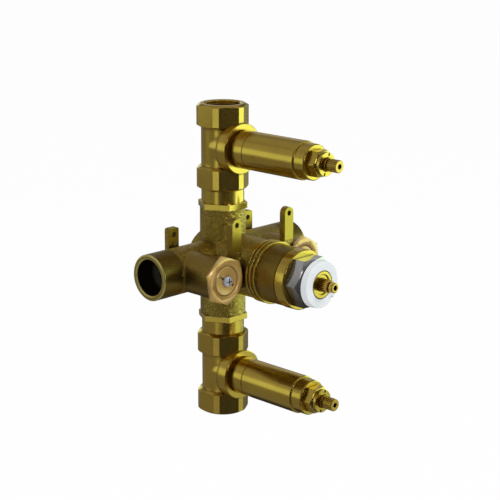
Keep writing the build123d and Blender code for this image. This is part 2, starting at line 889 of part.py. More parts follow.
def cartridge_sleeve():
    """Sleeve with hot and cold slots, keyways for the adjusting nut and a drained end wall."""
    sleeve = turned(
        (sleeve_end_hole_r, sleeve_back),
        (sleeve_r, sleeve_back),
        (sleeve_r, sleeve_seat),
        (collar_thread_r - sliding_clear, sleeve_seat),
        (collar_thread_r - sliding_clear, sleeve_front),
        (guide_bore_r, sleeve_front),
        (guide_bore_r, guide_back),
        (sleeve_bore_r, guide_back),
        (sleeve_bore_r, sleeve_end_front),
        (sleeve_end_hole_r, sleeve_end_front),
    )
    key_r = guide_bore_r + key_height + sliding_clear
    half_key = key_width / 2 + sliding_clear
    sleeve -= block(-half_key, half_key, guide_back, sleeve_front, -key_r, key_r)
    half_slot = sleeve_slot_width / 2
    for number in range(sleeve_slot_count):
        turn = Rot(0, number * 360 / sleeve_slot_count, 0)
        for middle in (cold_port_front, hot_port_front):
            back = middle - sleeve_slot_length / 2
            sleeve -= turn * block(0, 2 * sleeve_r, back, back + sleeve_slot_length, -half_slot, half_slot)
        sleeve -= turn * rod(sleeve_drain_r, sleeve_back, sleeve_end_front, sleeve_drain_offset)
    for middle in sleeve_seal_middles:
        sleeve -= seal_groove(sleeve_r, middle - seal_width / 2)
    return sleeve


def cartridge_seals():
    """Three seals that part hot, cold and mixed water round the sleeve."""
    rings = []
    for middle in sleeve_seal_middles:
        rings.append(seal_ring(sleeve_r - seal_depth, chamber_bore_r - thread_clear, middle - seal_width / 2))
    return Compound(children=rings)


def temperature_stem():
    """Temperature stem: drive screw, thrust collar, sealed journal, spline and necked tip."""
    shaft = turned(
        (0, mixer_screw_back),
        (mixer_screw_r, mixer_screw_back),
        (mixer_screw_r, mixer_collar_back),
        (mixer_collar_r, mixer_collar_back),
        (mixer_collar_r, mixer_collar_front),
        (mixer_stem_r, mixer_collar_front),
        (mixer_stem_r, mixer_spline_back),
        (0, mixer_spline_back),
    )
    shaft += spline(mixer_spline_r, mixer_spline_back, mixer_spline_front)
    shaft += turned(
        (0, mixer_spline_front),
        (mixer_neck_r, mixer_spline_front),
        (mixer_neck_r, mixer_tip_back),
        (mixer_tip_r, mixer_tip_back),
        (mixer_tip_r, mixer_front - stem_tip_chamfer),
        (mixer_tip_r - stem_tip_chamfer, mixer_front),
        (0, mixer_front),
    )
    for back in mixer_seal_backs:
        shaft -= seal_groove(mixer_stem_r, back)
    return shaft - rod(mixer_hole_r, mixer_front - stem_hole_depth, mixer_front)


def temperature_stem_seals():
    """Two seals in the grooves of the temperature stem."""
    rings = [seal_ring(mixer_stem_r - seal_depth, mixer_stem_r, back) for back in mixer_seal_backs]
    return Compound(children=rings)


def adjusting_nut():
    """Nut that the temperature stem moves, kept from turning by two keys."""
    nut_r = guide_bore_r - sliding_clear
    key_r = guide_bore_r + key_height
    nut = rod(nut_r, adjusting_nut_back, adjusting_nut_front)
    nut += block(-key_width / 2, key_width / 2, adjusting_nut_back, adjusting_nut_front, -key_r, key_r)
    return nut - rod(mixer_screw_r + sliding_clear, adjusting_nut_back, adjusting_nut_front)


def overtravel_spring():
    """Spring between the adjusting nut and the element's cap."""
    spring = coil(overtravel_mean_r, spring_wire, overtravel_turns, adjusting_nut_back - element_cap_front)
    return Pos(0, -element_cap_front, 0) * spring


def thermal_element():
    """Wax element: tail in the mixed water, body, neck and cap."""
    return turned(
        (0, element_tail_end),
        (element_tail_r, element_tail_end),
        (element_tail_r, element_back),
        (element_r, element_back),
        (element_r, element_front),
        (element_neck_r, element_front),
        (element_neck_r, element_cap_back),
        (element_cap_r, element_cap_back),
        (element_cap_r, element_cap_front),
        (0, element_cap_front),
    )


def shuttle():
    """Sliding ring that opens the cold slots as it closes the hot ones."""
    outer_r = sleeve_bore_r - sliding_clear
    web_front = shuttle_web_back + shuttle_web_thick
    ring = rod(outer_r, cold_port_front, hot_port_front)
    ring -= rod(outer_r - shuttle_wall, cold_port_front, shuttle_web_back)
    ring -= rod(outer_r - shuttle_wall, web_front, hot_port_front)
    ring -= rod(element_tail_r + thread_clear, shuttle_web_back, web_front)
    for number in range(shuttle_hole_count):
        hole = rod(shuttle_hole_r, shuttle_web_back, web_front, shuttle_hole_offset)
        ring -= Rot(0, number * 360 / shuttle_hole_count, 0) * hole
    return ring


def return_spring():
    """Spring between the sleeve's end wall and the shuttle's web."""
    spring = coil(return_mean_r, spring_wire, return_turns, shuttle_web_back - sleeve_end_front)
    return Pos(0, -sleeve_end_front, 0) * spring


def stop_plug():
    """Hexagon plug of a service stop, with a recess for the slotted disc."""
    drop = rim_drop(plug_face_r, plug_hex_flats)
    plug = hexagon(plug_hex_flats, housing_front, plug_hex_front, plug_hex_turn)
    plug &= turned(
        (0, housing_front),
        (plug_hex_flats, housing_front),
        (plug_hex_flats, plug_hex_front - drop),
        (plug_face_r, plug_hex_front),
        (0, plug_hex_front),
    )
    plug += rod(plug_spigot_r, plug_back, housing_front)
    plug -= rod(plug_recess_r, plug_recess_floor, plug_hex_front)
    plug -= rod(spindle_r + running_clear, plug_back, plug_recess_floor)
    return plug - seal_groove(plug_spigot_r, plug_seal_back)


def plug_seal():
    """Seal between a stop plug and its housing."""
    return seal_ring(plug_spigot_r - seal_depth, plug_spigot_r, plug_seal_back)


def stop_disc():
    """Slotted disc that a screwdriver turns."""
    half_length = stop_disc_slot_length / 2
    half_width = stop_disc_slot_width / 2
    slot_back = stop_disc_front - stop_disc_slot_depth
    slot = block(-half_length, half_length, slot_back, stop_disc_front, -half_width, half_width)
    disc = turned(
        (0, stop_disc_back),
        (stop_disc_r, stop_disc_back),
        (stop_disc_r, stop_disc_front - stop_disc_edge_drop),
        (stop_disc_r - stop_disc_edge, stop_disc_front),
        (0, stop_disc_front),
    )
    disc -= Rot(0, -stop_disc_slot_tilt, 0) * slot
    return disc - rod(screw_shank_r + thread_clear, stop_disc_back, stop_disc_front)


def stop_spindle():
    """Spindle behind the slotted disc: sealed journal, thrust collar and drive screw."""
    spindle = turned(
        (0, spindle_back),
        (spindle_screw_r, spindle_back),
        (spindle_screw_r, spindle_collar_back),
        (spindle_collar_r, spindle_collar_back),
        (spindle_collar_r, spindle_collar_front),
        (spindle_r, spindle_collar_front),
        (spindle_r, stop_disc_back),
        (0, stop_disc_back),
    )
    spindle -= seal_groove(spindle_r, plug_seal_back)
    screw_back = stop_disc_front - screw_shank_length - seat_gap
    return spindle - rod(screw_shank_r + thread_clear, screw_back, stop_disc_back)


def spindle_seal():
    """Seal between a stop spindle and its plug."""
    return seal_ring(spindle_r - seal_depth, spindle_r, plug_seal_back)


def stop_screw():
    """Pan head screw with a cross recess, which holds the slotted disc on the spindle."""
    head_front = stop_disc_front + screw_head_height
    screw = turned(
        (0, stop_disc_front - screw_shank_length),
        (screw_shank_r, stop_disc_front - screw_shank_length),
        (screw_shank_r, stop_disc_front),
        (screw_head_r, stop_disc_front),
        (screw_head_r, head_front - screw_head_edge),
        (screw_head_r - screw_head_edge, head_front),
        (0, head_front),
    )
    half_width = screw_recess_width / 2
    half_length = screw_head_r - screw_head_edge
    recess = block(-half_length, half_length, head_front - screw_recess_depth, head_front, -half_width, half_width)
    return screw - recess - Rot(0, 90, 0) * recess


def stop_piston():
    """Piston that the spindle drives to the seat, guided by fins, one of which runs in the keyway."""
    piston = rod(piston_hub_r, piston_back, piston_back + piston_hub_thick)
    piston += rod(piston_tube_r, piston_back, piston_front)
    half_thick = piston_fin_thick / 2
    fin_front = piston_back + piston_fin_length
    for number in range(piston_fin_count):
        reach = piston_fin_r
        if number == 0:
            reach = piston_fin_r + piston_key_height
        fin = block(-reach, 0, piston_back, fin_front, -half_thick, half_thick)
        if number > 0:
            fin &= rod(piston_fin_r, piston_back, fin_front)
        piston += Rot(0, number * 360 / piston_fin_count, 0) * fin
    return piston - rod(spindle_screw_r + sliding_clear, piston_back + piston_floor, piston_front)


def stop_washer():
    """Soft washer on the piston's face, which closes the seat."""
    return rod(stop_washer_r, washer_back, piston_back)


def check_cage():
    """Cage of an inlet check valve, drawn for the right inlet: flange, lip, tube and spider."""
    cage = turned_sideways(
        (check_cage_end, check_bore_r),
        (check_cage_end, check_cage_r),
        (inlet_shoulder, check_cage_r),
        (inlet_shoulder, inlet_recess_r - loose_clear),
        (inlet_mouth_floor, inlet_recess_r - loose_clear),
        (inlet_mouth_floor, check_lip_r),
        (check_lip_end, check_lip_r),
        (check_lip_end, check_bore_r),
    )
    half_arm = check_spider_arm / 2
    reach = (check_bore_r + check_cage_r) / 2
    for turn in (0, 90):
        arm = block(check_cage_end, check_spider_front, -half_arm, half_arm, -reach, reach)
        cage += Rot(turn, 0, 0) * arm
    cage += sideways(check_hub_r, check_cage_end, check_spider_front)
    return cage - sideways(check_stem_r + running_clear, check_cage_end, check_spider_front)


def check_poppet():
    """Poppet of an inlet check valve, drawn for the right inlet: disc and guide stem."""
    return turned_sideways(
        (check_stem_end, 0),
        (check_stem_end, check_stem_r),
        (check_poppet_back, check_stem_r),
        (check_poppet_back, check_poppet_r),
        (check_poppet_front, check_poppet_r),
        (check_poppet_front, 0),
    )


def check_spring():
    """Spring between a check valve's spider and its poppet, drawn for the right inlet."""
    length = check_poppet_back - check_spider_front
    spring = coil(check_spring_mean_r, check_spring_wire, check_spring_turns, length)
    return Pos(check_spider_front, 0, 0) * (Rot(0, 0, 90) * spring)


# Half turn about the forward axis, which takes the upper pieces to the lower place and the right ones to the left
half_turn = Rot(0, 180, 0)

single_pieces = {
    "valve_body": valve_body,
    "front_collar": front_collar,
    "lock_nut": lock_nut,
    "limit_ring": limit_ring,
    "cartridge_head": cartridge_head,
    "cartridge_sleeve": cartridge_sleeve,
    "cartridge_seals": cartridge_seals,
    "temperature_stem": temperature_stem,
    "temperature_stem_seals": temperature_stem_seals,
    "adjusting_nut": adjusting_nut,
    "overtravel_spring": overtravel_spring,
    "thermal_element": thermal_element,
    "shuttle": shuttle,
    "return_spring": return_spring,
}
control_pieces = {
    "tee": tee,
    "bonnet": bonnet,
    "bonnet_seal": bonnet_seal,
    "gland": gland,
    "retaining_ring": retaining_ring,
    "stem": stem,
    "stem_seals": stem_seals,
    "disc_cage": disc_cage,
    "fixed_disc": fixed_disc,
    "moving_disc": moving_disc,
    "seat_seal": seat_seal,
}
stop_pieces = {
    "stop_plug": stop_plug,
    "plug_seal": plug_seal,
    "stop_disc": stop_disc,
    "stop_spindle": stop_spindle,
    "spindle_seal": spindle_seal,
    "stop_screw": stop_screw,
    "stop_piston": stop_piston,
    "stop_washer": stop_washer,
}
check_pieces = {
    "check_cage": check_cage,
    "check_poppet": check_poppet,
    "check_spring": check_spring,
}


def write(name, shape):
    """Write one piece to its own file."""
    export_step(shape, os.path.join("parts", name + ".step"))


os.makedirs("parts", exist_ok=True)
for name, make in single_pieces.items():
    write(name, make())
for name, make in control_pieces.items():
    raised = Pos(0, 0, control_rise) * make()
    write("upper_" + name, raised)
    write("lower_" + name, half_turn * raised)
for name, make in stop_pieces.items():
    leftward = Pos(-stop_offset, 0, 0) * make()
    write("left_" + name, leftward)
    write("right_" + name, half_turn * leftward)
for name, make in check_pieces.items():
    rightward = make()
    write("right_" + name, rightward)
    write("left_" + name, half_turn * rightward)
upper_nipple = nipple()
write("upper_nipple", upper_nipple)
write("lower_nipple", half_turn * upper_nipple)
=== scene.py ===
"""Studio picture of a brass mixing valve: finishes, turned details, copied springs, camera, tent and lamps."""

import json
import logging
import math
from dataclasses import dataclass
from enum import Enum

import bmesh
import bpy
from mathutils import Matrix, Vector


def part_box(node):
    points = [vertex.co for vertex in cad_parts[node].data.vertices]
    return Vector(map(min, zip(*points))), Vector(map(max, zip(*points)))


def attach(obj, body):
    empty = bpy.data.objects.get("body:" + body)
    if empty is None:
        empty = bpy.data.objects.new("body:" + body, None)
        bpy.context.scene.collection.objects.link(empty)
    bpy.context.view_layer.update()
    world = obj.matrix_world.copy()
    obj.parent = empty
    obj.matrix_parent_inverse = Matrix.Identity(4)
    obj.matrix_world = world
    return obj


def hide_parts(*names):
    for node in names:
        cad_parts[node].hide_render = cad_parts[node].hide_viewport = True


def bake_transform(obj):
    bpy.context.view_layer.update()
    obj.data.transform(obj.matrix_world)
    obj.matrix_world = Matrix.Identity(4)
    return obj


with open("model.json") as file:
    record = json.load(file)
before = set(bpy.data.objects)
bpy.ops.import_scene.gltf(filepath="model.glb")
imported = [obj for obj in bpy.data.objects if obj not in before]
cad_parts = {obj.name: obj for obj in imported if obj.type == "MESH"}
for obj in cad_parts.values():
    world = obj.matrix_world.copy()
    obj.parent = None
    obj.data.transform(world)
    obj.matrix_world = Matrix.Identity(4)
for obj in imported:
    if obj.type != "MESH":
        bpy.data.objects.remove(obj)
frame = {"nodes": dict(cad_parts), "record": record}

MM = 0.001
MERGE = 1e-7
SHARP = math.radians(30)
LOG = logging.getLogger("valve")

Colour = tuple[float, float, float]
Profile = list[tuple[float, float]]

WHITE: Colour = (1.0, 1.0, 1.0)
PALE_GREEN: Colour = (0.86, 1.0, 0.86)
LIME: Colour = (0.74, 1.0, 0.72)
# Painted shade: its colour, the occlusion range it fades over and its most strength, for corners, gaps and the
# chrome's low side.
PAINTED_SHADE: Colour = (0.075, 0.05, 0.018)
SHADE_OCCLUSION_RANGE = (0.35, 0.85)
SHADE_MOST = 0.85
SHADING_SAMPLES = 6
ROUGHNESS_NOISE = (0.3, 0.7)


class Direction(Enum):
    """Which way the axis of a turned piece runs."""

    FORWARD = "forward"
    UPRIGHT = "upright"
    SIDEWAYS = "sideways"


class RayKind(Enum):
    """The rays that a stage piece is seen by."""

    CAMERA = "visible_camera"
    DIFFUSE = "visible_diffuse"
    GLOSSY = "visible_glossy"
    TRANSMISSION = "visible_transmission"
    VOLUME = "visible_volume_scatter"
    SHADOW = "visible_shadow"


def show_only_to(piece: bpy.types.Object, *kinds: RayKind) -> None:
    """Show a stage piece to these rays and hide it from the others.

    Args:
        piece: The stage piece.
        kinds: The rays that still see it.
    """
    for kind in RayKind:
        setattr(piece, kind.value, kind in kinds)


def mesh_piece(name: str, shape: bmesh.types.BMesh, smooth: bool = True) -> bpy.types.Object:
    """Make an object at the origin from a bmesh, and free the bmesh.

    Args:
        name: The object's name.
        shape: The finished bmesh, in metres in the frame of the part.
        smooth: Whether its faces are shaded smooth.

    Returns:
        The new object, linked to the scene.
    """
    mesh = bpy.data.meshes.new(name)
    shape.to_mesh(mesh)
    shape.free()
    mesh.polygons.foreach_set("use_smooth", [smooth] * len(mesh.polygons))
    piece = bpy.data.objects.new(name, mesh)
    bpy.context.scene.collection.objects.link(piece)
    return piece


class NodeSheet:
    """A node tree, with short ways to add nodes and join them."""

    def __init__(self, tree: bpy.types.NodeTree) -> None:
        """Keep the tree that nodes go into."""
        self.tree = tree

    def add(self, kind: str, **settings: object) -> bpy.types.Node:
        """Add a node.

        Args:
            kind: The node's type, such as ShaderNodeMath.
            settings: Properties to set on it.

        Returns:
            The new node.
        """
        node = self.tree.nodes.new(kind)
        for name, value in settings.items():
            setattr(node, name, value)
        return node

    def feed(self, target: bpy.types.NodeSocket, source: bpy.types.NodeSocket | float | Colour) -> None:
        """Join a socket to an input, or set the input's own value.

        Args:
            target: The input.
            source: An output, a number or a colour.
        """
        if isinstance(source, bpy.types.NodeSocket):
            self.tree.links.new(source, target)
        elif isinstance(source, tuple) and len(source) == 3 and target.type == "RGBA":
            target.default_value = (*source, 1.0)
        else:
            target.default_value = source

    def math(self, operation: str, *values: bpy.types.NodeSocket | float) -> bpy.types.NodeSocket:
        """Work on one, two or three values.

        Args:
            operation: The Math node's operation.
            values: Outputs or numbers.

        Returns:
            The result's socket.
        """
        node = self.add("ShaderNodeMath", operation=operation)
        for target, value in zip(node.inputs, values):
            self.feed(target, value)
        return node.outputs["Value"]

    def spread(
        self,
        value: bpy.types.NodeSocket,
        low: float,
        high: float,
        to_low: float = 0.0,
        to_high: float = 1.0,
    ) -> bpy.types.NodeSocket:
        """Map a value from one range to another, held at both ends.

        Args:
            value: The value.
            low: Where the first range starts.
            high: Where the first range ends.
            to_low: The result at low.
            to_high: The result at high.

        Returns:
            The mapped value's socket.
        """
        node = self.add("ShaderNodeMapRange", clamp=True)
        for name, number in (("From Min", low), ("From Max", high), ("To Min", to_low), ("To Max", to_high)):
            node.inputs[name].default_value = number
        self.feed(node.inputs["Value"], value)
        return node.outputs["Result"]

    def blend(
        self,
        factor: bpy.types.NodeSocket,
        first: bpy.types.NodeSocket | Colour,
        second: bpy.types.NodeSocket | Colour,
    ) -> bpy.types.NodeSocket:
        """Mix two colours.

        Args:
            factor: How much of the second colour shows.
            first: The colour at 0.
            second: The colour at 1.

        Returns:
            The mixed colour's socket.
        """
        node = self.add("ShaderNodeMix", data_type="RGBA", clamp_factor=True)
        sockets = {socket.identifier: socket for socket in (*node.inputs, *node.outputs)}
        self.feed(sockets["Factor_Float"], factor)
        self.feed(sockets["A_Color"], first)
        self.feed(sockets["B_Color"], second)
        return sockets["Result_Color"]

    def noise(
        self,
        scale: float | bpy.types.NodeSocket,
        vector: bpy.types.NodeSocket | None = None,
        along: bpy.types.NodeSocket | None = None,
        detail: float = 3.0,
    ) -> bpy.types.NodeSocket:
        """Add fractal noise over space, or along one value.

        Args:
            scale: Noise cells per metre.
            vector: The place, for noise over space.
            along: The value, for noise along a line.
            detail: Octaves of finer noise.

        Returns:
            The noise value's socket.
        """
        node = self.add("ShaderNodeTexNoise", noise_dimensions="3D" if along is None else "1D")
        node.inputs["Detail"].default_value = detail
        self.feed(node.inputs["Scale"], scale)
        if along is None:
            self.feed(node.inputs["Vector"], vector)
        else:
            self.feed(node.inputs["W"], along)
        return node.outputs["Fac"]


class Effects:
    """The surface effects that several finishes share, each a node group that is built once."""

    broad_share = 0.12
    tone_mix = 0.5
    tarnish_range = (0.38, 0.68)
    fine_ratio = 2.3
    pit_range = (0.05, 0.3)
    pit_drop = -0.35
    speck_range = (0.5, 0.68)

    def __init__(self) -> None:
        """Build every group."""
        self.turning = self._turning_marks()
        self.tarnish = self._tarnish()
        self.grain = self._cast_grain()

    @staticmethod
    def _group(
        name: str,
        inputs: dict[str, str],
        outputs: dict[str, str],
    ) -> tuple[NodeSheet, bpy.types.Node, bpy.types.Node]:
        """Start a node group.

        Args:
            name: The group's name.
            inputs: Socket types by input name.
            outputs: Socket types by output name.

        Returns:
            The group's sheet, its input node and its output node.
        """
        tree = bpy.data.node_groups.new(name, "ShaderNodeTree")
        for label, kind in inputs.items():
            tree.interface.new_socket(label, in_out="INPUT", socket_type=kind)
        for label, kind in outputs.items():
            tree.interface.new_socket(label, in_out="OUTPUT", socket_type=kind)
        sheet = NodeSheet(tree)
        return sheet, sheet.add("NodeGroupInput"), sheet.add("NodeGroupOutput")

    def _turning_marks(self) -> bpy.types.NodeTree:
        """Fine rings that a lathe leaves, both along a barrel and across its end faces."""
        values = {"Along": "NodeSocketFloat", "Radius": "NodeSocketFloat", "Fineness": "NodeSocketFloat"}
        sheet, start, end = self._group(
            "lathe_marks", values, {"Height": "NodeSocketFloat", "Tone": "NodeSocketFloat"}
        )
        place = sheet.math("ADD", start.outputs["Along"], start.outputs["Radius"])
        fine = sheet.noise(start.outputs["Fineness"], along=place, detail=2.0)
        broad_scale = sheet.math("MULTIPLY", start.outputs["Fineness"], self.broad_share)
        broad = sheet.noise(broad_scale, along=place, detail=1.0)
        sheet.feed(end.inputs["Height"], fine)
        broad_part = sheet.math("MULTIPLY", broad, self.tone_mix)
        sheet.feed(end.inputs["Tone"], sheet.math("MULTIPLY_ADD", fine, self.tone_mix, broad_part))
        return sheet.tree

    def _tarnish(self) -> bpy.types.NodeTree:
        """Clouds of duller metal."""
        values = {"Vector": "NodeSocketVector", "Scale": "NodeSocketFloat"}
        sheet, start, end = self._group("tarnish_clouds", values, {"Mask": "NodeSocketFloat"})
        cloud = sheet.noise(start.outputs["Scale"], vector=start.outputs["Vector"], detail=4.0)
        sheet.feed(end.inputs["Mask"], sheet.spread(cloud, *self.tarnish_range))
        return sheet.tree

    def _cast_grain(self) -> bpy.types.NodeTree:
        """Sand-cast skin: lumps, pits and bright specks."""
        values = {"Vector": "NodeSocketVector", "Scale": "NodeSocketFloat"}
        outputs = {"Height": "NodeSocketFloat", "Specks": "NodeSocketFloat", "Pits": "NodeSocketFloat"}
        sheet, start, end = self._group("sand_cast_grain", values, outputs)
        lumps = sheet.noise(start.outputs["Scale"], vector=start.outputs["Vector"], detail=5.0)
        fine_scale = sheet.math("MULTIPLY", start.outputs["Scale"], self.fine_ratio)
        specks = sheet.noise(fine_scale, vector=start.outputs["Vector"], detail=2.0)
        cells = sheet.add("ShaderNodeTexVoronoi", feature="F1")
        sheet.feed(cells.inputs["Vector"], start.outputs["Vector"])
        sheet.feed(cells.inputs["Scale"], fine_scale)
        pits = sheet.spread(cells.outputs["Distance"], *self.pit_range, 1.0, 0.0)
        sheet.feed(end.inputs["Height"], sheet.math("MULTIPLY_ADD", pits, self.pit_drop, lumps))
        sheet.feed(end.inputs["Specks"], sheet.spread(specks, *self.speck_range))
        sheet.feed(end.inputs["Pits"], pits)
        return sheet.tree


@dataclass(frozen=True)
class TurningAxis:
    """The line that a turned piece was spun about, with its left and right or upper and lower twin."""

    direction: Direction = Direction.FORWARD
    aside: float = 0.0
    rise: float = 0.0

    def coordinates(self, sheet: NodeSheet, place: bpy.types.NodeSocket) -> tuple[bpy.types.NodeSocket, ...]:
        """Give the place along this axis and the two distances from it.

        Args:
            sheet: The node tree to add to.
            place: The Object coordinates.

        Returns:
            The sockets along, across and over.
        """
        parts = sheet.add("ShaderNodeSeparateXYZ")
        sheet.feed(parts.inputs["Vector"], place)
        x, y, z = parts.outputs
        if self.direction is Direction.UPRIGHT:
            return z, x, y
        if self.direction is Direction.SIDEWAYS:
            return x, y, z
        if self.aside:
            x = sheet.math("SUBTRACT", sheet.math("ABSOLUTE", x), self.aside)
        if self.rise:
            z = sheet.math("SUBTRACT", sheet.math("ABSOLUTE", z), self.rise)
        return y, x, z


@dataclass(frozen=True)
class Finish:
    """What every finish holds: its name, colour and gloss."""

    name: str
    colour: Colour
    shade: Colour
    roughness: float

    def start(
        self,
        metallic: float,
    ) -> tuple[bpy.types.Material, NodeSheet, bpy.types.Node, bpy.types.NodeSocket]:
        """Start a material with its Principled shader and Object coordinates.

        Args:
            metallic: 1 for a metal, 0 for the rest.

        Returns:
            The material, its sheet, its shader and the place socket.
        """
        material = bpy.data.materials.new(self.name)
        material.use_nodes = True
        material.diffuse_color = (*self.colour, 1.0)
        sheet = NodeSheet(material.node_tree)
        shader = next(node for node in material.node_tree.nodes if node.type == "BSDF_PRINCIPLED")
        shader.inputs["Metallic"].default_value = metallic
        place = sheet.add("ShaderNodeTexCoord").outputs["Object"]
        return material, sheet, shader, place

    @staticmethod
    def corner_shaded(
        sheet: NodeSheet,
        unshaded: bpy.types.NodeSocket | Colour,
        reach: float,
    ) -> bpy.types.NodeSocket:
        """Paint shade into a colour in corners and gaps, found by ambient occlusion.

        Args:
            sheet: The material's sheet.
            unshaded: The colour in the open.
            reach: How far from the corner the painted shade shows, in metres.

        Returns:
            The colour with its painted shade.
        """
        occlusion = sheet.add("ShaderNodeAmbientOcclusion", samples=SHADING_SAMPLES)
        occlusion.inputs["Distance"].default_value = reach
        mask = sheet.spread(occlusion.outputs["AO"], *SHADE_OCCLUSION_RANGE, SHADE_MOST, 0.0)
        return sheet.blend(mask, unshaded, PAINTED_SHADE)

    @staticmethod
    def bump(
        sheet: NodeSheet,
        shader: bpy.types.Node,
        height: bpy.types.NodeSocket,
        depth: float,
        edge: bpy.types.NodeSocket | float,
    ) -> None:
        """Give the shader a bumped normal over softly rounded edges.

        Args:
            sheet: The material's sheet.
            shader: Its Principled shader.
            height: The bump's height, from 0 to 1.
            depth: The height's size in metres.
            edge: The radius that sharp edges are shaded with, in metres.
        """
        rounded = sheet.add("ShaderNodeBevel", samples=SHADING_SAMPLES)
        sheet.feed(rounded.inputs["Radius"], edge)
        bump = sheet.add("ShaderNodeBump")
        bump.inputs["Distance"].default_value = depth
        sheet.feed(bump.inputs["Height"], height)
        sheet.feed(bump.inputs["Normal"], rounded.outputs["Normal"])
        sheet.feed(shader.inputs["Normal"], bump.outputs["Normal"])


@dataclass(frozen=True)
class TurnedMetal(Finish):
    """Metal off a lathe, with fine rings, clouds of tarnish and painted shade in corners and gaps."""

    metallic: float = 1.0
    coat: float = 0.0
    coat_roughness: float = 0.1
    roughness_swing: float = 0.03
    ring_depth: float = 0.0015 * MM
    fineness: float = 2600.0
    cloud_scale: float = 60.0
    edge: float = 0.3 * MM
    # Painted shade: how far the darkening in corners and gaps reaches.
    shade_reach: float = 2.5 * MM
    # Painted shade: how dark the metal is painted towards the low side of its axis, and over what height.
    underside_shade: float = 0.0
    underside_shade_span: float = 11.0 * MM
    waist_edge: float = 0.0
    waist_half: float = 12.2 * MM
    waist_front: float = 17.0 * MM

    def material(self, effects: Effects, axis: TurningAxis) -> bpy.types.Material:
        """Make this finish for pieces on one axis.

        Args:
            effects: The shared effects.
            axis: The line that the pieces were turned about.

        Returns:
            The material.
        """
        material, sheet, shader, place = self.start(self.metallic)
        along, across, over = axis.coordinates(sheet, place)
        shader.inputs["Coat Weight"].default_value = self.coat
        shader.inputs["Coat Roughness"].default_value = self.coat_roughness
        squares = sheet.math("ADD", sheet.math("MULTIPLY", across, across), sheet.math("MULTIPLY", over, over))
        marks = sheet.add("ShaderNodeGroup", node_tree=effects.turning)
        sheet.feed(marks.inputs["Along"], along)
        sheet.feed(marks.inputs["Radius"], sheet.math("SQRT", squares))
        marks.inputs["Fineness"].default_value = self.fineness
        clouds = sheet.add("ShaderNodeGroup", node_tree=effects.tarnish)
        sheet.feed(clouds.inputs["Vector"], place)
        clouds.inputs["Scale"].default_value = self.cloud_scale
        open_colour = sheet.blend(clouds.outputs["Mask"], self.colour, self.shade)
        # Painted shade: darker towards low over, which is the underside of the upper control and the side towards
        # the middle on the lower one.
        if self.underside_shade:
            underside_shade_mask = sheet.spread(over, -self.underside_shade_span, self.underside_shade_span, self.underside_shade, 0.0)
            open_colour = sheet.blend(underside_shade_mask, open_colour, PAINTED_SHADE)
        # Painted shade in corners and gaps, from ambient occlusion.
        sheet.feed(shader.inputs["Base Color"], self.corner_shaded(sheet, open_colour, self.shade_reach))
        low, high = self.roughness - self.roughness_swing, self.roughness + self.roughness_swing
        sheet.feed(shader.inputs["Roughness"], sheet.spread(marks.outputs["Tone"], *ROUGHNESS_NOISE, low, high))
        self.bump(sheet, shader, marks.outputs["Height"], self.ring_depth, self._edge(sheet, along, over))
        return material

    def _edge(
        self,
        sheet: NodeSheet,
        along: bpy.types.NodeSocket,
        over: bpy.types.NodeSocket,
    ) -> bpy.types.NodeSocket | float:
        """Give the radius that edges are shaded with, which a forged waist has larger.

        Args:
            sheet: The material's sheet.
            along: Distance along the axis.
            over: Height over the axis.

        Returns:
            The radius in metres.
        """
        if not self.waist_edge:
            return self.edge
        level = sheet.math("LESS_THAN", sheet.math("ABSOLUTE", over), self.waist_half)
        behind = sheet.math("GREATER_THAN", along, -self.waist_front)
        return sheet.spread(sheet.math("MULTIPLY", level, behind), 0.0, 1.0, self.edge, self.waist_edge)


